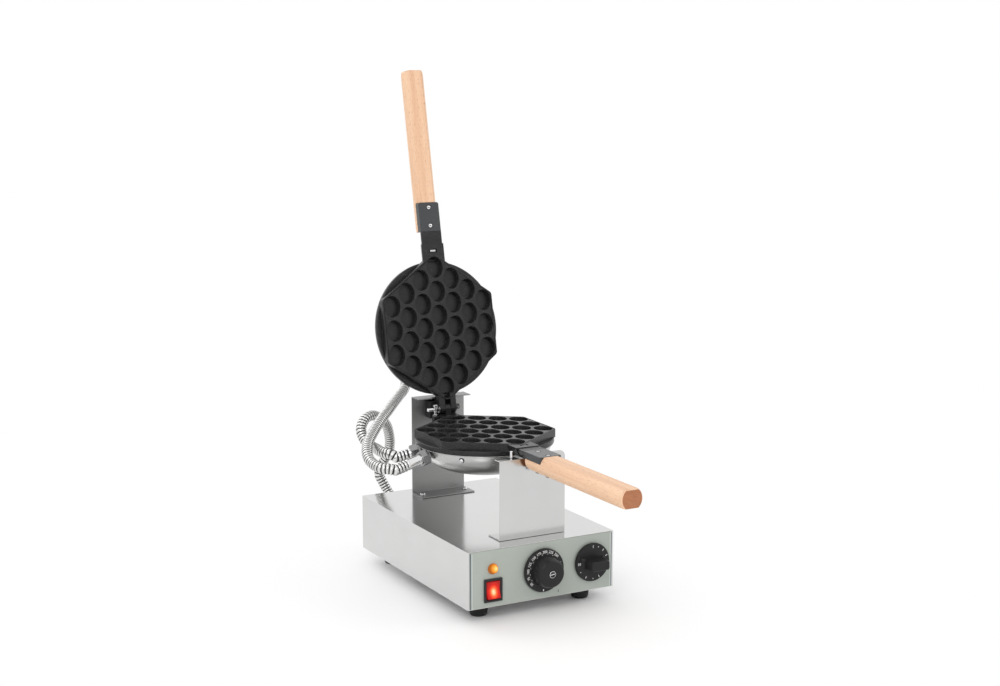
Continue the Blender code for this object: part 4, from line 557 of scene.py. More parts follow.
def carried(outline, axis, start, end):
    """An outline in the other two axes, carried along X (0) or Y (1)."""
    rings = np.insert(np.stack((outline, outline)).astype(float), axis, 0.0, axis=2)
    rings[:, :, axis] = np.array((start, end))[:, None]
    return skinned(rings)


CORNER_STEPS = 6
BOX_STEPS = 4


def rounded(corners, radii, steps=CORNER_STEPS, inset=0.0):
    """A polygon with each corner replaced by an arc touching both its sides, drawn inside by inset."""
    corners = np.asarray(corners, float)
    radii = np.broadcast_to(np.asarray(radii, float), len(corners))
    before = np.roll(corners, 1, axis=0) - corners
    after = np.roll(corners, -1, axis=0) - corners
    before /= np.linalg.norm(before, axis=1, keepdims=True)
    after /= np.linalg.norm(after, axis=1, keepdims=True)
    half = np.arccos(np.sum(before * after, axis=1)) / 2
    middle = before + after
    middle /= np.linalg.norm(middle, axis=1, keepdims=True)
    centre = corners + middle * (radii / np.sin(half))[:, None]
    touch = (radii / np.tan(half))[:, None]
    start, end = corners + before * touch - centre, corners + after * touch - centre
    first = np.arctan2(start[:, 1], start[:, 0])
    last = np.arctan2(end[:, 1], end[:, 0])
    sweep = (last - first + pi) % (2 * pi) - pi
    angle = first[:, None] + sweep[:, None] * np.linspace(0, 1, steps + 1)
    arcs = (radii - inset)[:, None, None] * np.stack((np.cos(angle), np.sin(angle)), axis=-1)
    return (centre[:, None, :] + arcs).reshape(-1, 2)


def box_outline(x0, y0, x1, y1):
    return np.array(((x0, y0), (x1, y0), (x1, y1), (x0, y1)), float)


def box(low_corner, high_corner, corner=0.0):
    """A block between two corners, its upright edges rounded."""
    outline = box_outline(*low_corner[:2], *high_corner[:2])
    if corner:
        outline = rounded(outline, corner, BOX_STEPS)
    return stacked(outline, (low_corner[2], high_corner[2]))


def joined(*shapes):
    """Several shapes as one."""
    starts = np.cumsum([0] + [len(points) for points, faces in shapes])
    faces = [group + start for start, (points, groups) in zip(starts, shapes) for group in groups]
    return np.concatenate([points for points, groups in shapes]), faces


def placed(shape, matrix):
    points, faces = shape
    return points @ matrix[:3, :3].T + matrix[:3, 3], faces


WHOLE_HULL = 0
FILL_TOLERANCE = 1e-7
MERGE_DISTANCE = 0.0000015
CAD_MERGE_DISTANCE = 0.000005
FLAT_LIMIT = radians(0.5)
NEVER_SHARP = 180
SHARP_ANGLE = 35
BEVEL_ANGLE = 30


def inside(places, first, second):
    """Places inside closed outlines: a line to the right crosses their sides an odd number of times."""
    x, y = places[:, 0, None], places[:, 1, None]
    spans = (first[:, 1] > y) != (second[:, 1] > y)
    rise = np.where(second[:, 1] == first[:, 1], 1.0, second[:, 1] - first[:, 1])
    crossing = first[:, 0] + (second[:, 0] - first[:, 0]) * (y - first[:, 1]) / rise
    return np.sum(spans & (x < crossing), axis=1) % 2 == 1


def filled(loops, level):
    """Triangles over the flat area inside the first loop and outside the others."""
    counts = [len(loop) for loop in loops]
    points = np.concatenate(loops)
    starts = np.repeat(np.cumsum([0] + counts[:-1]), counts)
    number = np.arange(len(points))
    after = starts + (number - starts + 1) % np.repeat(counts, counts)
    edges = np.stack((number, after), axis=1).tolist()
    drawn = delaunay_2d_cdt([Vector(spot) for spot in points.tolist()], edges, [], WHOLE_HULL,
                            FILL_TOLERANCE)
    flat = np.array([tuple(spot) for spot in drawn[0]])
    faces = np.array(drawn[2])
    kept = faces[inside(flat[faces].mean(axis=1), points, points[after])]
    return np.column_stack((flat, np.full(len(flat), level))), [kept]


def settled_mesh(name, bm, sharp, merge):
    """Merges doubles, turns faces outwards and marks sharp edges."""
    bmesh.ops.remove_doubles(bm, verts=bm.verts, dist=merge)
    bmesh.ops.recalc_face_normals(bm, faces=bm.faces)
    mesh = bpy.data.meshes.new(name)
    bm.to_mesh(mesh)
    bm.free()
    mesh.shade_smooth()
    mesh.set_sharp_from_angle(angle=radians(sharp))
    return mesh


def show(name, mesh, look, body, replaces=(), bevel=0.0, segments=2, limit=BEVEL_ANGLE,
         even=True):
    """Makes a mesh a shown piece that rides on a body and may stand for CAD nodes."""
    for one in look if isinstance(look, tuple) else (look,):
        mesh.materials.append(LOOKS.get(one, one) if isinstance(one, str) else one)
    made = bpy.data.objects.new(name, mesh)
    bpy.context.scene.collection.objects.link(made)
    if bevel:
        step = made.modifiers.new("rounded_edges", "BEVEL")
        step.width, step.segments, step.limit_method = bevel, segments, "ANGLE"
        step.angle_limit = radians(limit)
        step.harden_normals = False
    if even:
        step = made.modifiers.new("even_shading", "WEIGHTED_NORMAL")
        step.keep_sharp = True
    if body:
        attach(made, body)
    if replaces:
        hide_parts(*replaces)
    return made


def make_piece(name, shape, look, body, slot=None, replaces=(), matrix=np.eye(4), bevel=0.0,
               sharp=SHARP_ANGLE, masks=None, even=True):
    """A shape as a piece, with its drawn coordinates and masks kept as attributes of its points."""
    drawn, faces = shape
    points = placed(shape, matrix)[0]
    mesh = bpy.data.meshes.new("passing")
    mesh.from_pydata(points.tolist(), [], [face for group in faces for face in group.tolist()])
    kept = mesh.attributes.new("drawn", "FLOAT_VECTOR", "POINT")
    kept.data.foreach_set("vector", drawn.astype("f").ravel())
    for label, values in (masks or {}).items():
        kept = mesh.attributes.new(label, "FLOAT", "POINT")
        kept.data.foreach_set("value", values.astype("f").ravel())
    bm = bmesh.new()
    bm.from_mesh(mesh)
    bpy.data.meshes.remove(mesh)
    made = settled_mesh(name, bm, NEVER_SHARP if bevel else sharp, MERGE_DISTANCE)
    return show(name, made, look, body, replaces, bevel, even=even)


def pan_piece(pan, name, shape, look, slot, node=None, **settings):
    """A piece of one pan, drawn in the pan's own frame, that may stand for one of its nodes."""
    replaces = (f"{pan}_{node}",) if node else ()
    return make_piece(f"{pan}_{name}", shape, look, f"{pan}_pan", slot, replaces, PANS[pan], **settings)


def dressed(node_name, look, bevel, segments, slot, limit=BEVEL_ANGLE):
    """A merged copy of a CAD node with its edges rounded, standing for the node."""
    bm = bmesh.new()
    bm.from_mesh(NODES[node_name].data)
    bmesh.ops.remove_doubles(bm, verts=bm.verts, dist=CAD_MERGE_DISTANCE)
    bmesh.ops.dissolve_limit(bm, angle_limit=FLAT_LIMIT, verts=bm.verts, edges=bm.edges)
    mesh = settled_mesh(f"{node_name}_finish", bm, NEVER_SHARP, CAD_MERGE_DISTANCE)
    return show(f"{node_name}_finish", mesh, look, NODES[node_name]["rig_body"], (node_name,), bevel,
                segments, limit)


# The two castings

BUBBLE_SIDES = 32
BUBBLE_PROFILE_SHARES = ((1.035, 0.0), (1.014, 0.010), (1.0, 0.04), (0.990, 0.15), (0.970, 0.40),
                         (0.935, 0.66), (0.875, 0.86), (0.810, 0.950), (0.760, 0.988), (0.735, 1.0))
RIM_PROFILE = ((0.0, SKIRT_DEPTH), (0.0, 0.0016), (0.0002, 0.0009), (0.0009, FACE), (0.0016, FACE),
               (0.0018, 0.0010), (0.0024, 0.0011), (0.0028, FACE))
DISC_PROFILE = ((0, 0.0115), (0.0984, DISC_START), (0.0998, 0.0111), (0.1006, 0.0115), (0.1010, 0.0122),
                (0.1010, 0.0168), (0.1007, 0.0175), (0.1000, DISC_BACK), (0, DISC_BACK))
DISC_SIDES = 128
PLATE_END = PLATE_SIDE_HALF + PLATE_HALF_WIDTH * HALF_ROW / COLUMN_SPACING
PLATE_STEPS = 8
NECK_INSET = 0.0012
NECK_REAR = 0.0975
NECK_LEVELS = (0.0011, 0.0030, 0.0060, 0.0090, 0.0115, 0.0140, 0.0160, 0.0170, NECK_DEPTH)
TRUNNION_STEPS = 24
NECK_SLOT_CORNER = 0.001
NECK_SLOT_STEPS = 3
NECK_BEVEL = 0.0005
CAST_BEVEL = 0.0006
HEEL_CORNER = 0.0003
KEY_HALF_WIDTH = 0.0045
KEY_HALF_LENGTH = 0.0014
KEY_DROP = 0.0006
KEY_CORNER = 0.0006
KEY_BEVEL = 0.0003
LUG_RADIUS = 0.007
LUG_STEPS = 20
YOKE_CORNERS = ((-0.015, 0.100, FACE + FIT), (0.015, 0.131, 0.0145))
STOP_LUG_CORNERS = ((-0.0235, 0.1165, 0.0020), (-0.0140, 0.1255, 0.0120))
MIDDLE_LUG_HALF = 0.0042
MIDDLE_LUG_LEVEL = 0.002
SIDE_LUG_START = 0.100
SIDE_LUG_LEVELS = (0.001, 0.015)
SIDE_LUG_ENDS = ((0.0047, 0.0140), (-0.0140, -0.0047))


def bubble_places():
    """Centres of the thirty bubbles: seven staggered columns."""
    return np.array([(column * COLUMN_SPACING, (2 * row - COLUMN_ROWS[abs(column)] + 1) * HALF_ROW)
                     for column in range(-3, 4) for row in range(COLUMN_ROWS[abs(column)])])


def plate_outline(inset):
    across, along = PLATE_HALF_WIDTH, PLATE_SIDE_HALF
    corners = ((across, -along), (across, along), (0, PLATE_END), (-across, along), (-across, -along),
               (0, -PLATE_END))
    side, end = PLATE_CORNER_RADIUS, PLATE_END_RADIUS
    return rounded(corners, (side, side, end, side, side, end), PLATE_STEPS, inset)


def cup(place):
    """An oval cup: rings of one ellipse, drawn smaller and deeper by the profile's shares."""
    shares, depths = np.array(BUBBLE_PROFILE_SHARES).T
    angle = np.arange(BUBBLE_SIDES) * 2 * pi / BUBBLE_SIDES
    oval = np.stack((np.cos(angle) * BUBBLE_WIDTH / 2, np.sin(angle) * BUBBLE_LENGTH / 2), axis=-1)
    return stacked(place + shares[:, None, None] * oval, FACE + BUBBLE_DEPTH * depths, (False, True))


def plate_shape():
    """The hexagonal plate: a rim with a fine groove, a flat face and thirty cups."""
    insets, levels = zip(*RIM_PROFILE)
    rim = stacked([plate_outline(inset) for inset in insets], levels, (True, False))
    cups = [cup(place) for place in bubble_places()]
    mouths = [points[:BUBBLE_SIDES, :2] for points, faces in cups]
    return joined(rim, filled([plate_outline(insets[-1])] + mouths, FACE), *cups)


def neck_shape():
    """The neck's outline runs round the plate's end; lower levels keep within a half-round section."""
    edge = plate_outline(NECK_INSET)
    near = edge[(edge[:, 1] < -NECK_REAR) & (np.abs(edge[:, 0]) < NECK_RADIUS)]
    near = near[np.argsort(near[:, 0])[::-1]]
    slope = HALF_ROW / COLUMN_SPACING
    tip = NECK_INSET * sqrt(1 + slope ** 2)
    shoulder = -(PLATE_END - tip - NECK_RADIUS * slope)
    outline = np.concatenate(([(-NECK_RADIUS, -NECK_END), (NECK_RADIUS, -NECK_END), (NECK_RADIUS, shoulder)],
                              near, [(-NECK_RADIUS, shoulder)]))
    levels = np.array(NECK_LEVELS)
    half = np.sqrt(NECK_RADIUS ** 2 - np.minimum(levels, NECK_RADIUS) ** 2)
    outlines = np.broadcast_to(outline, (len(levels), *outline.shape)).copy()
    outlines[:, :, 0] = np.clip(outlines[:, :, 0], -half[:, None], half[:, None])
    body = stacked(outlines, levels, (False, True))
    top = levels[0]
    slot = rounded(box_outline(-NECK_SLOT_WIDTH / 2, -NECK_SLOT_PLACE - NECK_SLOT_LENGTH / 2,
                               NECK_SLOT_WIDTH / 2, NECK_SLOT_LENGTH / 2 - NECK_SLOT_PLACE),
                   NECK_SLOT_CORNER, NECK_SLOT_STEPS)
    well = stacked(slot, (top, top + NECK_SLOT_DEPTH), (False, True))
    return joined(body, filled([outlines[0], slot], top), well)


def trunnion_shape():
    """A half-round bar, flat above."""
    level = TANG_TOP + FIT
    start = asin(level / TRUNNION_RADIUS)
    angle = np.linspace(start, pi - start, TRUNNION_STEPS)
    section = TRUNNION_RADIUS * np.stack((np.cos(angle), np.sin(angle)), axis=-1)
    return carried(section, 1, -TRUNNION_END, FIT - NECK_END)


def lug_outline(rise, start, sweep, before, after):
    """The round boss about the hinge bolt, between straight flanks."""
    angle = start + sweep * np.linspace(0, 1, LUG_STEPS + 1)
    arc = np.stack((HINGE_SETBACK + LUG_RADIUS * np.cos(angle), rise + LUG_RADIUS * np.sin(angle)),
                   axis=-1)
    return np.concatenate(([before], arc, [after]))


def hinge_lugs(pan):
    """One lug on the lower pan's yoke with its stop, two lugs on the upper pan."""
    if pan == "lower":
        front, rear = HINGE_SETBACK - LUG_RADIUS, HINGE_SETBACK + LUG_RADIUS
        centre = lug_outline(-HINGE_RISE, -pi, pi, (front, MIDDLE_LUG_LEVEL), (rear, MIDDLE_LUG_LEVEL))
        return joined(box(*YOKE_CORNERS), carried(centre, 0, -MIDDLE_LUG_HALF, MIDDLE_LUG_HALF),
                      box(*STOP_LUG_CORNERS))
    flanks = [(SIDE_LUG_START, level) for level in SIDE_LUG_LEVELS]
    side = lug_outline(HINGE_RISE, -pi / 2, pi, *flanks)
    return joined(*(carried(side, 0, *ends) for ends in SIDE_LUG_ENDS))


def casting(pan):
    pan_piece(pan, "casting", joined(plate_shape(), turned(DISC_PROFILE, DISC_SIDES)), "nonstick",
              "nonstick", "plate", sharp=40)
    pan_piece(pan, "neck", joined(neck_shape(), trunnion_shape()), "nonstick", "nonstick", bevel=NECK_BEVEL)
    top = NECK_LEVELS[0]
    key = box((-KEY_HALF_WIDTH, -NECK_SLOT_PLACE - KEY_HALF_LENGTH, top + KEY_DROP),
              (KEY_HALF_WIDTH, KEY_HALF_LENGTH - NECK_SLOT_PLACE, top + NECK_SLOT_DEPTH + FIT), KEY_CORNER)
    pan_piece(pan, "neck_key", key, "steel", "steel", bevel=KEY_BEVEL)
    pan_piece(pan, "hinge_lugs", hinge_lugs(pan), "nonstick", "nonstick", bevel=CAST_BEVEL)
    outline = rounded(box_outline(-TANG_HALF, -TANG_END, TANG_HALF, FIT - TRUNNION_END),
                      (TANG_CORNER, TANG_CORNER, HEEL_CORNER, HEEL_CORNER))
    pan_piece(pan, "tang", stacked(outline, (TANG_TOP, TANG_BOTTOM)), "tang", "nonstick", bevel=CAST_BEVEL)


# Bowls and their screws

BOWL_BOTTOM = BOWL_RIM_LEVEL + BOWL_DEPTH
BOWL_SIDES = 128
BOWL_STEPS = 40
RIM_ROUND = 0.0004
SCREW_STEPS = 7
DOME_ANGLES = (0.15, 1.25)
DOME_START_SHARE = 0.45
RECESS_REACH_SHARE = 0.60
RECESS_WIDTH_SHARE = 0.15
RECESS_DEPTH_SHARE = 0.50
RECESS_WALL_SHARE = 1.02
RECESS_FLOOR_SHARE = 0.96
NO_DIVISION_BY_ZERO = 1e-9
SMALL_SIDES = 32
BOWL_SCREW_ANGLES = {"left": radians(222), "right": radians(42), "rear": radians(132)}
BOWL_SCREW = (0.0031, 0.0023)
BOWL_WASHER = (0.0030, 0.0040, 0.00005, 0.0004)


def dish_angle(level):
    """The angle at which the bowl's section reaches a level."""
    return asin(((level - BOWL_RIM_LEVEL) / BOWL_DEPTH) ** (1 / BOWL_DEPTH_POWER))


def dish_side(top, inset):
    """From rim to axis: the radius is a power of the angle's cosine, the level one of its sine."""
    angle = np.linspace(dish_angle(top), pi / 2, BOWL_STEPS)
    radius = (BOWL_TOP_RADIUS - inset) * np.maximum(np.cos(angle), 0) ** BOWL_SIDE_POWER
    radius[-1] = 0
    level = BOWL_RIM_LEVEL + (BOWL_DEPTH - inset) * np.sin(angle) ** BOWL_DEPTH_POWER
    return np.stack((radius, level), axis=-1)


def bowl(pan):
    """A pressed dish with a rim turned out against the disc."""
    rim, outer = BOWL_RIM_LEVEL + BOWL_SHEET, BOWL_RIM_RADIUS
    edge = np.array(((outer - RIM_ROUND, BOWL_RIM_LEVEL), (outer, BOWL_RIM_LEVEL + RIM_ROUND),
                     (outer, rim - RIM_ROUND), (outer - RIM_ROUND, rim), (BOWL_TOP_RADIUS + RIM_ROUND, rim)))
    profile = np.concatenate((dish_side(BOWL_RIM_LEVEL, BOWL_SHEET)[::-1], edge,
                              dish_side(rim + RIM_ROUND, 0)))
    pan_piece(pan, "bowl_finish", turned(profile, BOWL_SIDES), "bowl_steel", "steel", "bowl", sharp=50)


def wall_pose(angle, level):
    """A seat on the bowl's side, and the direction square to the dish there."""
    place = dish_angle(level)
    radius = BOWL_TOP_RADIUS * cos(place) ** BOWL_SIDE_POWER
    side = BOWL_SIDE_POWER * BOWL_TOP_RADIUS * cos(place) ** (BOWL_SIDE_POWER - 1) * sin(place)
    fall = BOWL_DEPTH_POWER * BOWL_DEPTH * sin(place) ** (BOWL_DEPTH_POWER - 1) * cos(place)
    return seat_on_circle(angle, radius, level, atan2(side, fall))


def seat_on_circle(angle, radius, level, lean):
    """A point on a circle round the pan's axis, and a direction outwards that leans down from there."""
    seat = np.array((radius * cos(angle), radius * sin(angle), level))
    return seat, np.array((cos(angle) * cos(lean), sin(angle) * cos(lean), sin(lean)))


def recess_outline(reach, width, cross):
    """A slot or a cross about the centre, as its radius at angles that take in each of its corners."""
    corner = atan2(width, reach)
    quarter = (0, corner, (corner + pi / 4) / 2, pi / 4, (pi / 2 - corner + pi / 4) / 2, pi / 2 - corner)
    angle = (np.arange(4)[:, None] * pi / 2 + np.array(quarter)).ravel()
    across = np.abs(np.cos(angle)) + NO_DIVISION_BY_ZERO
    along = np.abs(np.sin(angle)) + NO_DIVISION_BY_ZERO
    radius = np.minimum(reach / across, width / along)
    if cross:
        radius = np.maximum(radius, np.minimum(reach / along, width / across))
    return angle, radius


def screw_head(radius, height, cross=True):
    """A low domed head about Z: rings of the dome, then the outline of its recess at two depths."""
    angle, inner = recess_outline(radius * RECESS_REACH_SHARE, radius * RECESS_WIDTH_SHARE, cross)
    dome = np.linspace(*DOME_ANGLES, SCREW_STEPS)
    radii = np.concatenate(([radius, radius], radius * np.sqrt(np.cos(dome))))[:, None]
    radii = np.concatenate((np.maximum(radii, inner * RECESS_WALL_SHARE),
                            [inner, inner * RECESS_FLOOR_SHARE]))
    shares = DOME_START_SHARE + (1 - DOME_START_SHARE) * np.sin(dome)
    shares = np.concatenate(([0, DOME_START_SHARE], shares, [1, 1 - RECESS_DEPTH_SHARE]))
    return skinned(round_rings(radii, height * shares, angle))


def washer(inner, outer, start, end):
    """A flat ring about Z."""
    return turned(((inner, start), (outer, start), (outer, end), (inner, end)), SMALL_SIDES, ring=True)


def bowl_screws(pan):
    """The two screws that the solids carry, and the third one."""
    for side, angle in BOWL_SCREW_ANGLES.items():
        pose = facing(*wall_pose(angle, BOWL_SCREW_LEVEL))
        node = None if side == "rear" else f"bowl_screw_{side}"
        pan_piece(pan, f"bowl_screw_{side}_finish", placed(screw_head(*BOWL_SCREW), pose), "chrome",
                  "chrome", node)
        pan_piece(pan, f"bowl_washer_{side}", placed(washer(*BOWL_WASHER), pose), "iron", "chrome")


# Handles

BARREL_STEPS = 11
ARRIS = 0.0007
ARRIS_CUT = 0.0002
# How strong the painted shade is on the far top edge
ARRIS_SHADE_SHARE = 0.5
START_STEPS = (0, 0.0006, 0.0016)
START_WIDTH_SHARES = (0.955, 0.985, 1, 1)
START_DEPTH_SHARES = (0.96, 0.99, 1, 1)
STRAIGHT_STEPS = 12
TIP_STEPS = 7
TIP_DEPTH_SHARE = 0.35
# How strong the same darkening is on the handle's tip
TIP_DARKENING_SHARE = 0.4
END_GRAIN_SHARE = 0.75
BOLT_HEAD_RADIUS = 0.0033
BOLT_HEAD_HEIGHT = 0.0020
BOLT_SINK = 0.0003
BOLT_RING = (0.0033, 0.0041, -0.00012, 0.0003)
ACORN_PROFILE = ((0, 0), (0.0043, 0), (0.0043, 0.0006), (0.0040, 0.0009), (0.0039, 0.0026),
                 (0.0034, 0.0040), (0.0024, 0.0051), (0.0011, 0.0056), (0, 0.0057))


def barrel():
    """The handle's section in X and N, flat above and below with arcs for sides, and its mask of painted
    shade along the far top edge.
    """
    middle, half = (HANDLE_TOP + HANDLE_BOTTOM) / 2, (HANDLE_BOTTOM - HANDLE_TOP) / 2
    bulge = HANDLE_HALF_WIDTH - HANDLE_FLAT_HALF
    radius = (bulge ** 2 + half ** 2) / (2 * bulge)
    reach = atan2(half, radius - bulge) - ARRIS / radius
    angle = np.linspace(-reach, reach, BARREL_STEPS)
    arc = np.stack((HANDLE_HALF_WIDTH - radius + radius * np.cos(angle), radius * np.sin(angle)), axis=-1)
    cut = np.array((HANDLE_FLAT_HALF - ARRIS_CUT, half - ARRIS_CUT))
    flat = np.array((HANDLE_FLAT_HALF - ARRIS, half))
    side = np.concatenate(([flat * (1, -1), cut * (1, -1)], arc, [cut, flat]))
    section = np.concatenate((side, -side))
    mask = np.zeros(len(section))
    mask[1] = ARRIS_SHADE_SHARE
    return section + (0, middle), mask


def handle(pan):
    """The section carried from the tang to the tip: narrowed at its end, and cut down over the tang."""
    section, arris_shade = barrel()
    middle = (HANDLE_TOP + HANDLE_BOTTOM) / 2
    straight_end = HANDLE_END - HANDLE_END_ROUND
    turn = np.linspace(0, pi / 2, TIP_STEPS + 1)[1:]
    places = np.concatenate((HANDLE_START + np.array(START_STEPS), [TANG_END + FIT],
                             np.linspace(TANG_END + FIT, straight_end, STRAIGHT_STEPS),
                             straight_end + HANDLE_END_ROUND * np.sin(turn)))
    narrowing = HANDLE_END_NARROWING * (1 - np.cos(turn)) / HANDLE_HALF_WIDTH
    full = np.ones(STRAIGHT_STEPS)
    widths = np.concatenate((START_WIDTH_SHARES, full, 1 - narrowing))
    depths = np.concatenate((START_DEPTH_SHARES, full, 1 - narrowing * TIP_DEPTH_SHARE))
    rings = np.empty((len(places), len(section), 3))
    rings[:, :, 0] = section[:, 0] * widths[:, None]
    rings[:, :, 1] = -places[:, None]
    rings[:, :, 2] = middle + (section[:, 1] - middle) * depths[:, None]
    over_tang = slice(len(START_WIDTH_SHARES))
    rings[over_tang, :, 2] = np.maximum(rings[over_tang, :, 2], TANG_BOTTOM + FIT)
    # The mask paints shade along the far top edge and darkens the tip
    masks = np.broadcast_to(arris_shade, rings.shape[:2]).copy()
    masks[-1] = TIP_DARKENING_SHARE
    made = pan_piece(pan, "handle_finish", skinned(rings), ("wood", "wood_end"), "wood", "handle",
                     sharp=28, masks={"arris_shade": masks})
    along = Vector(PANS[pan][:3, 1])
    for polygon in made.data.polygons:
        if abs(polygon.normal @ along) > END_GRAIN_SHARE:
            polygon.material_index = 1


def handle_bolts(pan):
    """Flush bolts with dark rings above, domed nuts below."""
    for name, place in HANDLE_BOLT_PLACES.items():
        pose = facing((0, -place, TANG_TOP + BOLT_HEAD_HEIGHT - BOLT_SINK), (0, 0, -1))
        flush = placed(screw_head(BOLT_HEAD_RADIUS, BOLT_HEAD_HEIGHT, False), pose)
        pan_piece(pan, f"handle_bolt_{name}_finish", flush, "chrome", "chrome", f"handle_bolt_{name}")
        acorn = placed(turned(ACORN_PROFILE, SMALL_SIDES), shift(0, -place, HANDLE_BOTTOM + FIT))
        # The domed nuts take chrome darkened as painted shade
        pan_piece(pan, f"handle_nut_{name}", acorn, "acorn", "chrome")
        ring = placed(washer(*BOLT_RING), shift(0, -place, TANG_TOP))
        pan_piece(pan, f"handle_bolt_{name}_ring", ring, "iron", "chrome")


# Glands and hoses

HEX_STEPS = 8
CHAMFER_SLOPE_SHARE = 0.6
ROUND_SIDES = 48
GLAND_CHAMFER = 0.0012
GLAND_WASHER = ((0, 0.0001), (0.0106, 0.0001), (0.0108, 0.0003), (0.0106, 0.0006), (0, 0.0006))
TIP_EDGE = 0.0008
TIP_ROOT = 0.0010
TIP_STEP = 0.0006
TIP_ROUND_SHARES = ((0, 1), (0.4, 0.3), (1, 0))
BANDED_TIP = 0.01
BAND_SHARES = (0.10, 0.84)
BAND_PROFILE = ((0, 0), (0.0003, 0.0003), (0.0003, 0.0015), (0, 0.0018))
LINK_TIP = (0.0077, 0.024)
PLAIN_TIP = (0.0078, 0.003)


def hexagon_nut(flats, start, end, chamfer):
    """A hexagon with its ends turned down: a ring's radius is the lesser of hexagon and chamfer circle."""
    angle = np.arange(6 * HEX_STEPS) * 2 * pi / (6 * HEX_STEPS)
    off = (angle + pi / 6) % (pi / 3) - pi / 6
    tips = flats / 2 / cos(pi / 6)
    limits = np.array((tips - chamfer, tips, tips, tips - chamfer))
    radii = np.minimum(flats / 2 / np.cos(off), limits[:, None])
    slope = chamfer * CHAMFER_SLOPE_SHARE
    return skinned(round_rings(radii, (start, start + slope, end - slope, end), angle))


def gland(name, seat, direction, tip_radius, tip_length, body, matrix):
    """A hexagon on a thin washer with a plain or banded tip; gives back its exit."""
    nut_end = GLAND_SEAT + GLAND_NUT_LENGTH
    tip_end = nut_end + tip_length
    pose = facing(seat, direction)
    nut = joined(turned(GLAND_WASHER, ROUND_SIDES),
                 hexagon_nut(GLAND_FLATS, GLAND_SEAT, nut_end, GLAND_CHAMFER))
    make_piece(f"{name}_finish", placed(nut, pose), "gland_nut", body, "steel", (name,), matrix, sharp=25)
    inner = tip_radius - TIP_EDGE
    profile = [(0, nut_end - TIP_ROOT), (inner, nut_end - TIP_ROOT), (inner, nut_end + TIP_STEP),
               (tip_radius, nut_end + TIP_EDGE)]
    if tip_length > BANDED_TIP:
        profile += [(tip_radius + out, nut_end + tip_length * share + up)
                    for share in BAND_SHARES for out, up in BAND_PROFILE]
    edge = min(TIP_EDGE, tip_length / 4)
    profile += [(tip_radius - edge * across, tip_end - edge * back) for across, back in TIP_ROUND_SHARES]
    tip = turned(profile + [(0, tip_end)], ROUND_SIDES)
    make_piece(f"{name}_tip", placed(tip, pose), "chrome", body, "steel", matrix=matrix)
    exit_point = (matrix @ np.append(seat + direction * (tip_end + FIT), 1))[:3]
    return exit_point, matrix[:3, :3] @ direction


HOSE_RINGS = 10
HOSE_PITCH = 0.0051
HOSE_SIDES = 24
HOSE_ROOT_SHARE = 0.80
HOSE_GROOVE_SHARE = 0.16
# Where the painted shade in a groove starts on a rib's arch, and over how much of the arch it deepens
HOSE_SHADE_START_SHARE = 0.90
HOSE_SHADE_FADE_SHARE = 0.35
ROUTE_STEPS = 12
SIDE_CHOICES = 400
GOLDEN_ANGLE = pi * (3 - sqrt(5))


def smooth_route(start, start_direction, middle, end, end_direction, step):
    """Cubic pieces through chosen points, each slope half the way between its neighbours, at even steps."""
    first = start + start_direction * CONDUIT_STRAIGHT
    last = end + end_direction * CONDUIT_STRAIGHT
    knots = np.concatenate(([first], np.array(middle) + MACHINE[:3, 3], [last]))
    gaps = np.linalg.norm(np.diff(knots, axis=0), axis=1)
    slopes = np.concatenate(([start_direction * gaps[0]], (knots[2:] - knots[:-2]) / 2,
                             [-end_direction * gaps[-1]]))
    t = (np.arange(1, ROUTE_STEPS + 1) / ROUTE_STEPS)[None, :, None]
    dense = ((2 * t ** 3 - 3 * t ** 2 + 1) * knots[:-1, None] + (t ** 3 - 2 * t ** 2 + t) * slopes[:-1, None]
             + (3 * t ** 2 - 2 * t ** 3) * knots[1:, None] + (t ** 3 - t ** 2) * slopes[1:, None])
    dense = np.concatenate(([start, first], dense.reshape(-1, 3), [end]))
    lengths = np.append(0, np.cumsum(np.linalg.norm(np.diff(dense, axis=0), axis=1)))
    even = np.linspace(0, lengths[-1], round(lengths[-1] / step) + 1)
    return np.stack([np.interp(even, lengths, dense[:, axis]) for axis in range(3)], axis=-1), lengths[-1]


def steady_side(tangents):
    """A direction square to each tangent, turned from the one line that the route never runs along."""
    number = np.arange(SIDE_CHOICES)
    height = 1 - (number + 0.5) / SIDE_CHOICES
    angle = number * GOLDEN_ANGLE
    flat = np.sqrt(1 - height ** 2)
    choices = np.stack((flat * np.cos(angle), flat * np.sin(angle), height), axis=-1)
    side = np.cross(tangents, choices[np.argmin(np.abs(tangents @ choices.T).max(axis=0))])
    return side / np.linalg.norm(side, axis=1, keepdims=True)


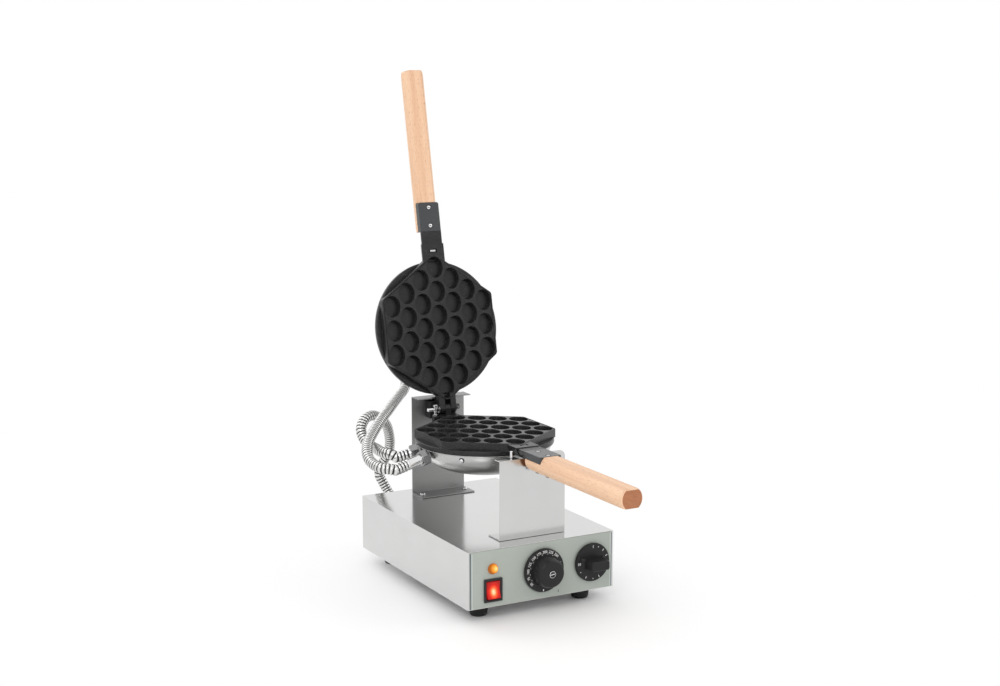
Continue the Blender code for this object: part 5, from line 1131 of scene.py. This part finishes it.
def hose(name, start, start_direction, route, end, end_direction, bodies):
    """Wound steel hose: ribs on a route, their radius an arch over each pitch between grooves, and painted
    shade in the grooves.
    """
    points, length = smooth_route(start, start_direction, route, end, end_direction,
                                  HOSE_PITCH / HOSE_RINGS)
    tangents = np.gradient(points, axis=0)
    tangents /= np.linalg.norm(tangents, axis=1, keepdims=True)
    side = steady_side(tangents)
    other = np.cross(tangents, side)
    along = (np.arange(len(points)) % HOSE_RINGS) / HOSE_RINGS
    arch = np.sqrt(np.clip(1 - ((2 * along - 1) / (1 - HOSE_GROOVE_SHARE / 2)) ** 2, 0, 1))
    radius = CONDUIT_RADIUS * (HOSE_ROOT_SHARE + (1 - HOSE_ROOT_SHARE) * arch)
    angle = (np.arange(HOSE_SIDES) * 2 * pi / HOSE_SIDES)[None, :, None]
    rings = points[:, None] + radius[:, None, None] * (side[:, None] * np.cos(angle)
                                                       + other[:, None] * np.sin(angle))
    # Painted shade: the colour darkens towards near black as a rib falls into its groove
    groove = np.clip((HOSE_SHADE_START_SHARE - arch) / HOSE_SHADE_FADE_SHARE, 0, 1)
    groove = np.broadcast_to(groove[:, None], rings.shape[:2])
    made = make_piece(f"{name}_finish", skinned(rings), "hose", None, "hose", (name,), sharp=70,
                      masks={"groove": groove}, even=False)
    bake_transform(made)


def conduits():
    around = (GLAND_WALL_RADIUS, GLAND_LEVEL, atan2(GLAND_LEAN_SHARE, 1))
    link_start = gland("lower_link_gland", *seat_on_circle(LINK_GLAND_ANGLE, *around), *LINK_TIP,
                       "lower_pan", LOWER)
    feed_end = gland("lower_feed_gland", *seat_on_circle(FEED_GLAND_ANGLE, *around), *PLAIN_TIP,
                     "lower_pan", LOWER)
    link_end = gland("upper_link_gland", np.array((*LID_GLAND, BOWL_BOTTOM)), np.array((0, 0, 1.0)),
                     *PLAIN_TIP, "upper_pan", UPPER)
    feed_start = gland("base_conduit_gland", np.array(BASE_GLAND), np.array((0, 1.0, 0)), *PLAIN_TIP,
                       "root", MACHINE)
    hose("link_conduit", *link_start, LINK_ROUTE, *link_end, ("lower_pan", "upper_pan"))
    hose("feed_conduit", *feed_start, FEED_ROUTE, *feed_end, ("root", "lower_pan"))


# Base, brackets and feet

DRESSED_PIECES = (("base_shell", "base_steel", 0.0008, 3, "steel"),
                  ("rear_bracket", "rear_steel", 0.0004, 2, "steel"),
                  ("front_bracket", "steel", 0.0004, 2, "steel"),
                  ("bearing_block", "iron", 0.0008, 2, "iron"))
BRACKET_SCREW = (0.0042, 0.0024)
BRACKET_SCREW_SEAT = 0.0022
BLOCK_SCREW = (0.0038, 0.0018)
BLOCK_SCREW_SEAT = 0.0016
PIN_RADIUS = 0.00215
PIN_TIP_RADIUS = 0.0018
PIN_CHAMFER = 0.0004
FOOT_PROFILE = ((0, 0.008), (0.006, 0.008), (0.006, 0.0006), (0.0066, 0), (0.0098, 0), (0.0114, 0.0008),
                (0.0123, 0.0026), (0.0138, 0.0160), (0.0142, 0.0172), (0.0142, 0.0192), (0.0138, 0.0199),
                (0, 0.0199))


def middle_box(name):
    """A node's first corner, its middle and its last corner."""
    first, last = np.array(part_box(name))
    return first, (first + last) / 2, last


def seated_screw(name, head, depth, direction):
    """A screw head in a screw's place, its seat this deep under the node's last face."""
    first, seat, last = middle_box(name)
    seat = np.where(direction, last - depth, seat)
    make_piece(f"{name}_finish", placed(screw_head(*head), facing(seat, direction)), "chrome", "root",
               "chrome", (name,))


def brackets():
    for piece in DRESSED_PIECES:
        dressed(*piece)
    for place in ("rear_left", "rear_right", "front_left", "front_right"):
        seated_screw(f"bracket_screw_{place}", BRACKET_SCREW, BRACKET_SCREW_SEAT, (0, 0, 1))
    for side in ("left", "right"):
        seated_screw(f"block_screw_{side}", BLOCK_SCREW, BLOCK_SCREW_SEAT, (0, 1, 0))
    first, middle, last = middle_box("stop_pin")
    height = last[2] - first[2]
    profile = ((0, 0), (PIN_RADIUS, 0), (PIN_RADIUS, height - PIN_CHAMFER), (PIN_TIP_RADIUS, height),
               (0, height))
    pin = placed(turned(profile, SMALL_SIDES), shift(*middle[:2], first[2]))
    make_piece("stop_pin_finish", pin, "chrome", "root", "steel", ("stop_pin",))


def feet():
    for corner in ("front_left", "front_right", "rear_left", "rear_right"):
        name = f"foot_{corner}"
        foot = placed(turned(FOOT_PROFILE, ROUND_SIDES), shift(*middle_box(name)[1][:2], 0))
        make_piece(f"{name}_finish", foot, "rubber", "root", "rubber", (name,))


# Hinge and pivot

HINGE_SEAT = 0.0143
HINGE_FLATS = 0.009
HINGE_HEAD_LENGTH = 0.0065
HINGE_NUT_LENGTH = 0.0042
HINGE_CHAMFER = 0.0006
SHANK_PROFILE = ((0, -0.0316), (0.0025, -0.0316), (0.0030, -0.0310), (0.0030, 0.0153), (0, 0.0153))
HINGE_WASHER = ((0, -0.0145), (0.0062, -0.0145), (0.0062, -0.0137), (0, -0.0137))
STOP_SCREW_PROFILE = ((0, -0.016), (0.0016, -0.016), (0.0019, -0.0155), (0.0019, 0.0105), (0.0036, 0.0105),
                      (0.0036, 0.0128), (0.0030, 0.0135), (0, 0.0135))
STOP_SCREW_SIDES = 24
STOP_NUT = (0.0070, -0.0045, -0.0018, 0.0004)
STOP_SCREW_PLACE = (-0.0195, 0.1210, 0.0020)
PIVOT_PIECES = (("rear_pivot", "chrome", 0.0003, 2, "chrome"),
                ("rear_pivot_nut", "chrome", 0.0005, 2, "chrome"))


def hinge():
    pose = facing((0, HINGE_SETBACK, HINGE_RISE), (1, 0, 0))
    head = hexagon_nut(HINGE_FLATS, HINGE_SEAT, HINGE_SEAT + HINGE_HEAD_LENGTH, HINGE_CHAMFER)
    nut = hexagon_nut(HINGE_FLATS, -HINGE_SEAT - HINGE_NUT_LENGTH, -HINGE_SEAT, HINGE_CHAMFER)
    for node, shape in (("hinge_bolt", joined(turned(SHANK_PROFILE, SMALL_SIDES), head)),
                        ("hinge_nut", joined(nut, turned(HINGE_WASHER, SMALL_SIDES)))):
        make_piece(f"{node}_finish", placed(shape, pose), "chrome", "lower_pan", "chrome", (node,), AXIS)
    for piece in PIVOT_PIECES:
        dressed(*piece)
    stop = joined(turned(STOP_SCREW_PROFILE, STOP_SCREW_SIDES), hexagon_nut(*STOP_NUT))
    make_piece("lid_stop_screw", placed(stop, shift(*STOP_SCREW_PLACE)), "chrome", "lower_pan", "chrome",
               matrix=AXIS)


# Controls

THERMOSTAT_PROFILE = ((0, 0), (0.0300, 0), (0.0310, 0.0012), (0.0310, 0.0042), (0.0302, 0.0056),
                      (0.0290, 0.0060), (0.0224, 0.0060), (0.0217, 0.0066), (0.0210, 0.0194),
                      (0.0207, 0.0196), (0.0207, 0.0202), (0.0209, 0.0204), (0.0204, 0.0216),
                      (0.0194, 0.0244), (0.0186, 0.0260), (0.0176, 0.0267), (0.0160, 0.0270),
                      (0.0058, 0.0270), (0.0054, 0.0262), (0, 0.0262))
INSERT_PROFILE = ((0.0040, 0.0262), (0.0050, 0.0262), (0.0050, 0.0272), (0.0047, 0.0275), (0.0042, 0.0275),
                  (0.0040, 0.0271))
INSERT_BAR = ((-0.0036, -0.0006, 0.0262), (0.0036, 0.0006, 0.0268))
INSERT_BAR_CORNER = 0.0004
INSERT_BAR_TURN = radians(8)
TIMER_PROFILE = ((0, 0), (0.0266, 0), (0.0275, 0.0010), (0.0275, 0.0034), (0.0268, 0.0046),
                 (0.0255, 0.0050), (0, 0.0052))
TIMER_GRIP = ((0.0440, 0.0180, 0.0025), (0.0390, 0.0165, 0.0050), (0.0320, 0.0146, 0.0072),
              (0.0295, 0.0138, 0.0100), (0.0290, 0.0135, 0.0252), (0.0284, 0.0129, 0.0262),
              (0.0268, 0.0113, 0.0269), (0.0250, 0.0095, 0.0270))
TIMER_GRIP_CORNER = 0.003
KNOB_SIDES = 96
DOT_SIDES = 16
DIAL_LEVEL = 0.0060
TIMER_LEVEL = 0.0050
PRINT_PROUD = 0.00008
PRINT_ROOT = 0.0002
PRINT_WEIGHT_SHARE = 0.012
PRINT_CURVE_STEPS = 3

# Angles of a dial's print, in degrees, count clockwise from the top
SCALE_FIGURES = [(-128 + number * 21.25, str(50 + 25 * number)) for number in range(9)]
SCALE_RADIUS = 0.0266
SCALE_SIZE = 0.0051
SCALE_DOT_TURN = 10.6
SCALE_DOT_RADIUS = 0.0236
SCALE_DOT = 0.00055
SCALE_MARKS = ((93, 0.0276, 0.0036, 0.0015), (185, 0.0276, 0.0030, 0.0015))
SMALL_MARK = (70, 0.0268, 0.0018, 0.0009)
TIMER_DOTS = (22, 180, 240)
TIMER_DOT_RADIUS = 0.0232
TIMER_DOT = 0.0007
TIMER_MARKS = ((0, 0.0230, 0.0040, 0.0006), (45, 0.0230, 0.0034, 0.0009), (70, 0.0230, 0.0034, 0.0009),
               (155, 0.0230, 0.0034, 0.0009), (210, 0.0230, 0.0034, 0.0009))
TIMER_FIGURE = 270
TIMER_FIGURE_RADIUS = 0.0226
TIMER_FIGURE_SIZE = 0.0054


def lettering(words, size, matrix):
    """Flat raised figures, made a mesh before they are placed."""
    curve = bpy.data.curves.new("figures", "FONT")
    curve.body = words
    curve.size = size
    curve.align_x, curve.align_y = "CENTER", "CENTER"
    curve.extrude = PRINT_PROUD
    curve.offset = size * PRINT_WEIGHT_SHARE
    curve.resolution_u = PRINT_CURVE_STEPS
    holder = bpy.data.objects.new("figures", curve)
    bpy.context.scene.collection.objects.link(holder)
    mesh = bpy.data.meshes.new_from_object(holder.evaluated_get(bpy.context.evaluated_depsgraph_get()))
    bpy.data.objects.remove(holder, do_unlink=True)
    bpy.data.curves.remove(curve)
    points = np.empty(len(mesh.vertices) * 3)
    mesh.vertices.foreach_get("co", points)
    faces = [np.array([polygon.vertices]) for polygon in mesh.polygons]
    bpy.data.meshes.remove(mesh)
    return placed((points.reshape(-1, 3), faces), matrix)


def on_dial(angle, radius, level=0.0):
    """A place on a dial, its Y pointing out from the dial's centre."""
    return turn_about(2, -radians(angle)) @ shift(0, radius, level)


def dial_mark(level, angle, radius, length, width):
    """A short bar that points at the dial's centre."""
    bar = box((-width / 2, -length / 2, level - PRINT_ROOT), (width / 2, length / 2, level + PRINT_PROUD))
    return placed(bar, on_dial(angle, radius))


def dial_dot(level, angle, radius, size):
    low, high = level - PRINT_ROOT, level + PRINT_PROUD
    return placed(turned(((0, low), (size, low), (size, high), (0, high)), DOT_SIDES), on_dial(angle, radius))


def control_place(node_name):
    """A frame on a control's axis: its X to the user's right, its Y up, its Z out of the panel."""
    middle, last = middle_box(node_name)[1:]
    return shift(middle[0], last[1], middle[2]) @ turn_about(0, pi / 2)


def knob_piece(knob, name, shape, look, slot="knob", nodes=(), sharp=50):
    make_piece(name, shape, look, knob, slot, nodes, control_place(knob), sharp=sharp)


def thermostat():
    knob = "thermostat_knob"
    knob_piece(knob, f"{knob}_finish", turned(THERMOSTAT_PROFILE, KNOB_SIDES), "knob", nodes=(knob,))
    bar = placed(box(*INSERT_BAR, INSERT_BAR_CORNER), turn_about(2, INSERT_BAR_TURN))
    ring = turned(INSERT_PROFILE, ROUND_SIDES, ring=True)
    knob_piece(knob, "thermostat_insert_finish", joined(ring, bar), "steel", "chrome",
               ("thermostat_knob_insert",))
    marks = []
    for angle, words in SCALE_FIGURES:
        marks.append(lettering(words, SCALE_SIZE, on_dial(angle, SCALE_RADIUS, DIAL_LEVEL)))
        if words != SCALE_FIGURES[-1][1]:
            marks.append(dial_dot(DIAL_LEVEL, angle + SCALE_DOT_TURN, SCALE_DOT_RADIUS, SCALE_DOT))
    marks += [dial_mark(DIAL_LEVEL, *mark) for mark in SCALE_MARKS]
    knob_piece(knob, "thermostat_scale", joined(*marks), "print")
    knob_piece(knob, "thermostat_small_mark", dial_mark(DIAL_LEVEL, *SMALL_MARK), "grey_print")


def timer():
    knob = "timer_knob"
    outlines = [rounded(box_outline(-length / 2, -width / 2, length / 2, width / 2), TIMER_GRIP_CORNER)
                for length, width, level in TIMER_GRIP]
    grip = stacked(outlines, [level for length, width, level in TIMER_GRIP])
    knob_piece(knob, f"{knob}_finish", joined(turned(TIMER_PROFILE, KNOB_SIDES), grip), "knob",
               nodes=(knob,), sharp=40)
    marks = [dial_dot(TIMER_LEVEL, angle, TIMER_DOT_RADIUS, TIMER_DOT) for angle in TIMER_DOTS]
    marks += [dial_mark(TIMER_LEVEL, *mark) for mark in TIMER_MARKS]
    spot = on_dial(TIMER_FIGURE, TIMER_FIGURE_RADIUS, TIMER_LEVEL) @ turn_about(2, -pi / 2)
    marks.append(lettering("10", TIMER_FIGURE_SIZE, spot))
    knob_piece(knob, "timer_scale", joined(*marks), "print")


# Lit pieces, each with its unlit colour, its glow's place from the node's front, reach, colours and strength

ROCKER_COLOUR = (0.20, 0.006, 0.004)
ROCKER_GLOW = (0, 0, -0.0025)
ROCKER_REACH = (0.0110, 0.03, 0.0150)
ROCKER_STOPS = ((0.0, (1.0, 0.95, 0.78)), (0.20, (1.0, 0.66, 0.30)), (0.40, (0.95, 0.14, 0.03)),
                (0.65, (0.62, 0.01, 0.004)), (1.0, (0.26, 0.002, 0.001)))
ROCKER_STRENGTH = 1.0
ROCKER_BEVEL = 0.0006
ROCKER_BEVEL_ANGLE = 8
HOUSING_BEVEL = 0.0009
LAMP_COLOUR = (0.40, 0.12, 0.006)
LAMP_GLOW = (0.0012, 0, 0.0018)
LAMP_GLOW_REACH = (0.0082, 0.012, 0.0082)
LAMP_STOPS = ((0.0, (1.0, 0.90, 0.52)), (0.25, (1.0, 0.66, 0.16)), (0.55, (0.85, 0.30, 0.02)),
              (0.85, (0.30, 0.07, 0.004)), (1.0, (0.10, 0.02, 0.002)))
LAMP_STRENGTH = 0.85
LAMP_REACH = 0.0082
LAMP_RIM = ((0, -0.002), (0.0070, -0.002), (0.0075, 0.0002), (0.0075, 0.0011), (0.0069, 0.0014))
LAMP_DOME_RADIUS = 0.0066
LAMP_DOME_START = 0.0014
LAMP_DOME_STEPS = 12


def front_middle(name):
    """The middle of a node's front face."""
    first, middle = middle_box(name)[:2]
    return np.array((middle[0], first[1], middle[2]))


def switch_and_lamp():
    dressed("power_switch_housing", "plastic", HOUSING_BEVEL, 3, "plastic")
    lit_rocker = lit_finish("lit_rocker", ROCKER_COLOUR, tuple(front_middle("power_rocker") + ROCKER_GLOW),
                            ROCKER_REACH, ROCKER_STOPS, ROCKER_STRENGTH)
    dressed("power_rocker", lit_rocker, ROCKER_BEVEL, 3, "red", ROCKER_BEVEL_ANGLE)
    front = front_middle("heat_lamp_lens")
    lit_lamp = lit_finish("lit_amber", LAMP_COLOUR, tuple(front + LAMP_GLOW), LAMP_GLOW_REACH,
                          LAMP_STOPS, LAMP_STRENGTH)
    angle = np.arange(LAMP_DOME_STEPS) * pi / 2 / LAMP_DOME_STEPS
    rise = LAMP_REACH - LAMP_DOME_START
    dome = np.stack((LAMP_DOME_RADIUS * np.cos(angle), LAMP_DOME_START + rise * np.sin(angle)), axis=-1)
    profile = np.concatenate((LAMP_RIM, dome, ((0, LAMP_REACH),)))
    matrix = shift(*(front + (0, LAMP_REACH, 0))) @ turn_about(0, pi / 2)
    make_piece("heat_lamp_finish", turned(profile, ROUND_SIDES), lit_lamp, "root", "amber",
               ("heat_lamp_lens",), matrix)


# Panel

EDGE_LINE = 0.0015
PALE_LINE = 0.0030
LINE_INSET = 0.0002
LINE_END_INSET = 0.0008
LINE_PROUD = 0.0002
LINE_ROOT = 0.00012
PANEL_LINES = (("panel_edge_lines", "panel_edge", 0.0, EDGE_LINE),
               ("panel_pale_lines", "panel_rim", EDGE_LINE, PALE_LINE))
PANEL_BEVEL = 0.0002
PANEL_MARK = ((0.0251, 0.0262, 0.0259, 0.0296), (0.0244, 0.0257, 0.0266, 0.0262))


def panel_print(face, near_x, near_z, far_x, far_z):
    """A thin block on the panel's face."""
    return box((near_x, face - LINE_ROOT, near_z), (far_x, face + LINE_PROUD, far_z))


def panel():
    dressed("front_panel", "overlay", PANEL_BEVEL, 1, "overlay")
    first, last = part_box("front_panel")
    face, low, high = first[1], first[2] + LINE_END_INSET, last[2] - LINE_END_INSET
    for name, look, near, far in PANEL_LINES:
        sides = []
        for end, way in ((first[0] + LINE_INSET, 1), (last[0] - LINE_INSET, -1)):
            left, right = sorted((end + way * near, end + way * far))
            sides.append(panel_print(face, left, low, right, high))
        make_piece(name, joined(*sides), look, "root", "overlay")
    make_piece("panel_mark", joined(*(panel_print(face, *block) for block in PANEL_MARK)), "dark_print",
               "root", "overlay")


# Studio

CAMERA_REACH = 50
FLOOR_REACH = 14
FLOOR_GAP = 0.0002
FLOOR_FADE = (0.12, 0.50)
FLOOR_COLOUR = (0.98, 0.98, 0.98)
FLOOR_STRETCH = (3, 3, 3)
FLOOR_ROUGHNESS = (0.55, 0.65)
SKY_LEVELS = (0.0, 0.5)
SKY_VALUES = (0.56, 0.86)
WHITE = (1, 1, 1, 1)
LAMPS = (("key", (-2.4, -2.6, 3.0), 2.4, 46), ("fill", (3.2, -1.6, 1.9), 2.2, 18),
         ("rear", (-1.0, 3.0, 2.6), 2.6, 24))
LAMP_AIM = (0, 0, 0.25)


def seen_plainly(tree):
    """One for camera, mirror and glass rays, which see the plain white background."""
    rays = add_node(tree, "ShaderNodeLightPath").outputs
    either = worked(tree, "MAXIMUM", rays["Is Camera Ray"], rays["Is Glossy Ray"])
    return worked(tree, "MAXIMUM", either, rays["Is Transmission Ray"])


def camera():
    data = bpy.data.cameras.new("camera")
    data.sensor_width = CAMERA_SENSOR
    data.lens = CAMERA_LENS
    data.clip_end = CAMERA_REACH
    made = bpy.data.objects.new("camera", data)
    made.location = CAMERA_PLACE
    made.rotation_euler = (pi / 2 - CAMERA_PITCH, 0, -CAMERA_YAW)
    bpy.context.scene.collection.objects.link(made)
    bpy.context.scene.camera = made


def floor():
    """A pale floor that takes the object's shadow and fades to the white background round it."""
    made, tree, shader = start_material("floor", FLOOR_COLOUR, 0.0, FLOOR_ROUGHNESS[0])
    place = own_place(tree, False)
    tree.links.new(spread(tree, noise(tree, place, FLOOR_STRETCH), *FLOOR_ROUGHNESS),
                   shader.inputs["Roughness"])
    away = worked(tree, "LENGTH", place, kind="VectorMath", output="Value")
    fade = ranged(tree, away, FLOOR_FADE, interpolation_type="SMOOTHSTEP")
    share = worked(tree, "MULTIPLY", fade, seen_plainly(tree))
    white = add_node(tree, "ShaderNodeEmission", {"Color": WHITE, "Strength": 1.0})
    blend = add_node(tree, "ShaderNodeMixShader", {0: share, 1: shader.outputs[0], 2: white.outputs[0]})
    tree.links.new(blend.outputs[0], tree.nodes["Material Output"].inputs["Surface"])
    mesh = bpy.data.meshes.new("floor")
    corners = box_outline(-FLOOR_REACH, -FLOOR_REACH, FLOOR_REACH, FLOOR_REACH)
    mesh.from_pydata(np.column_stack((corners, np.full(4, -FLOOR_GAP))).tolist(), [], [(0, 1, 2, 3)])
    mesh.materials.append(made)
    ground = bpy.data.objects.new("floor", mesh)
    bpy.context.scene.collection.objects.link(ground)


def world():
    """Light that is a little dimmer from below, behind a background that is plain white when seen."""
    made = bpy.data.worlds.new("studio")
    made.use_nodes = True
    tree = made.node_tree
    place = add_node(tree, "ShaderNodeTexCoord")
    parts = add_node(tree, "ShaderNodeSeparateXYZ", {0: place.outputs["Generated"]})
    level = ranged(tree, parts.outputs["Z"], SKY_LEVELS, SKY_VALUES)
    back = tree.nodes["Background"]
    tree.links.new(mixed(tree, seen_plainly(tree), level, WHITE), back.inputs["Color"])
    back.inputs["Strength"].default_value = 1.0
    bpy.context.scene.world = made


def lamps():
    for name, place, size, power in LAMPS:
        data = bpy.data.lights.new(name, "AREA")
        data.shape = "DISK"
        data.size = size
        data.energy = power
        made = bpy.data.objects.new(name, data)
        made.location = place
        made.rotation_euler = (Vector(LAMP_AIM) - Vector(place)).to_track_quat("-Z", "Y").to_euler()
        bpy.context.scene.collection.objects.link(made)


camera()
conduits()
for pan_name in PANS:
    casting(pan_name)
    bowl(pan_name)
    bowl_screws(pan_name)
    handle(pan_name)
    handle_bolts(pan_name)
brackets()
feet()
hinge()
panel()
thermostat()
timer()
switch_and_lamp()
floor()
world()
lamps()
bpy.context.scene.view_settings.view_transform = "Standard"
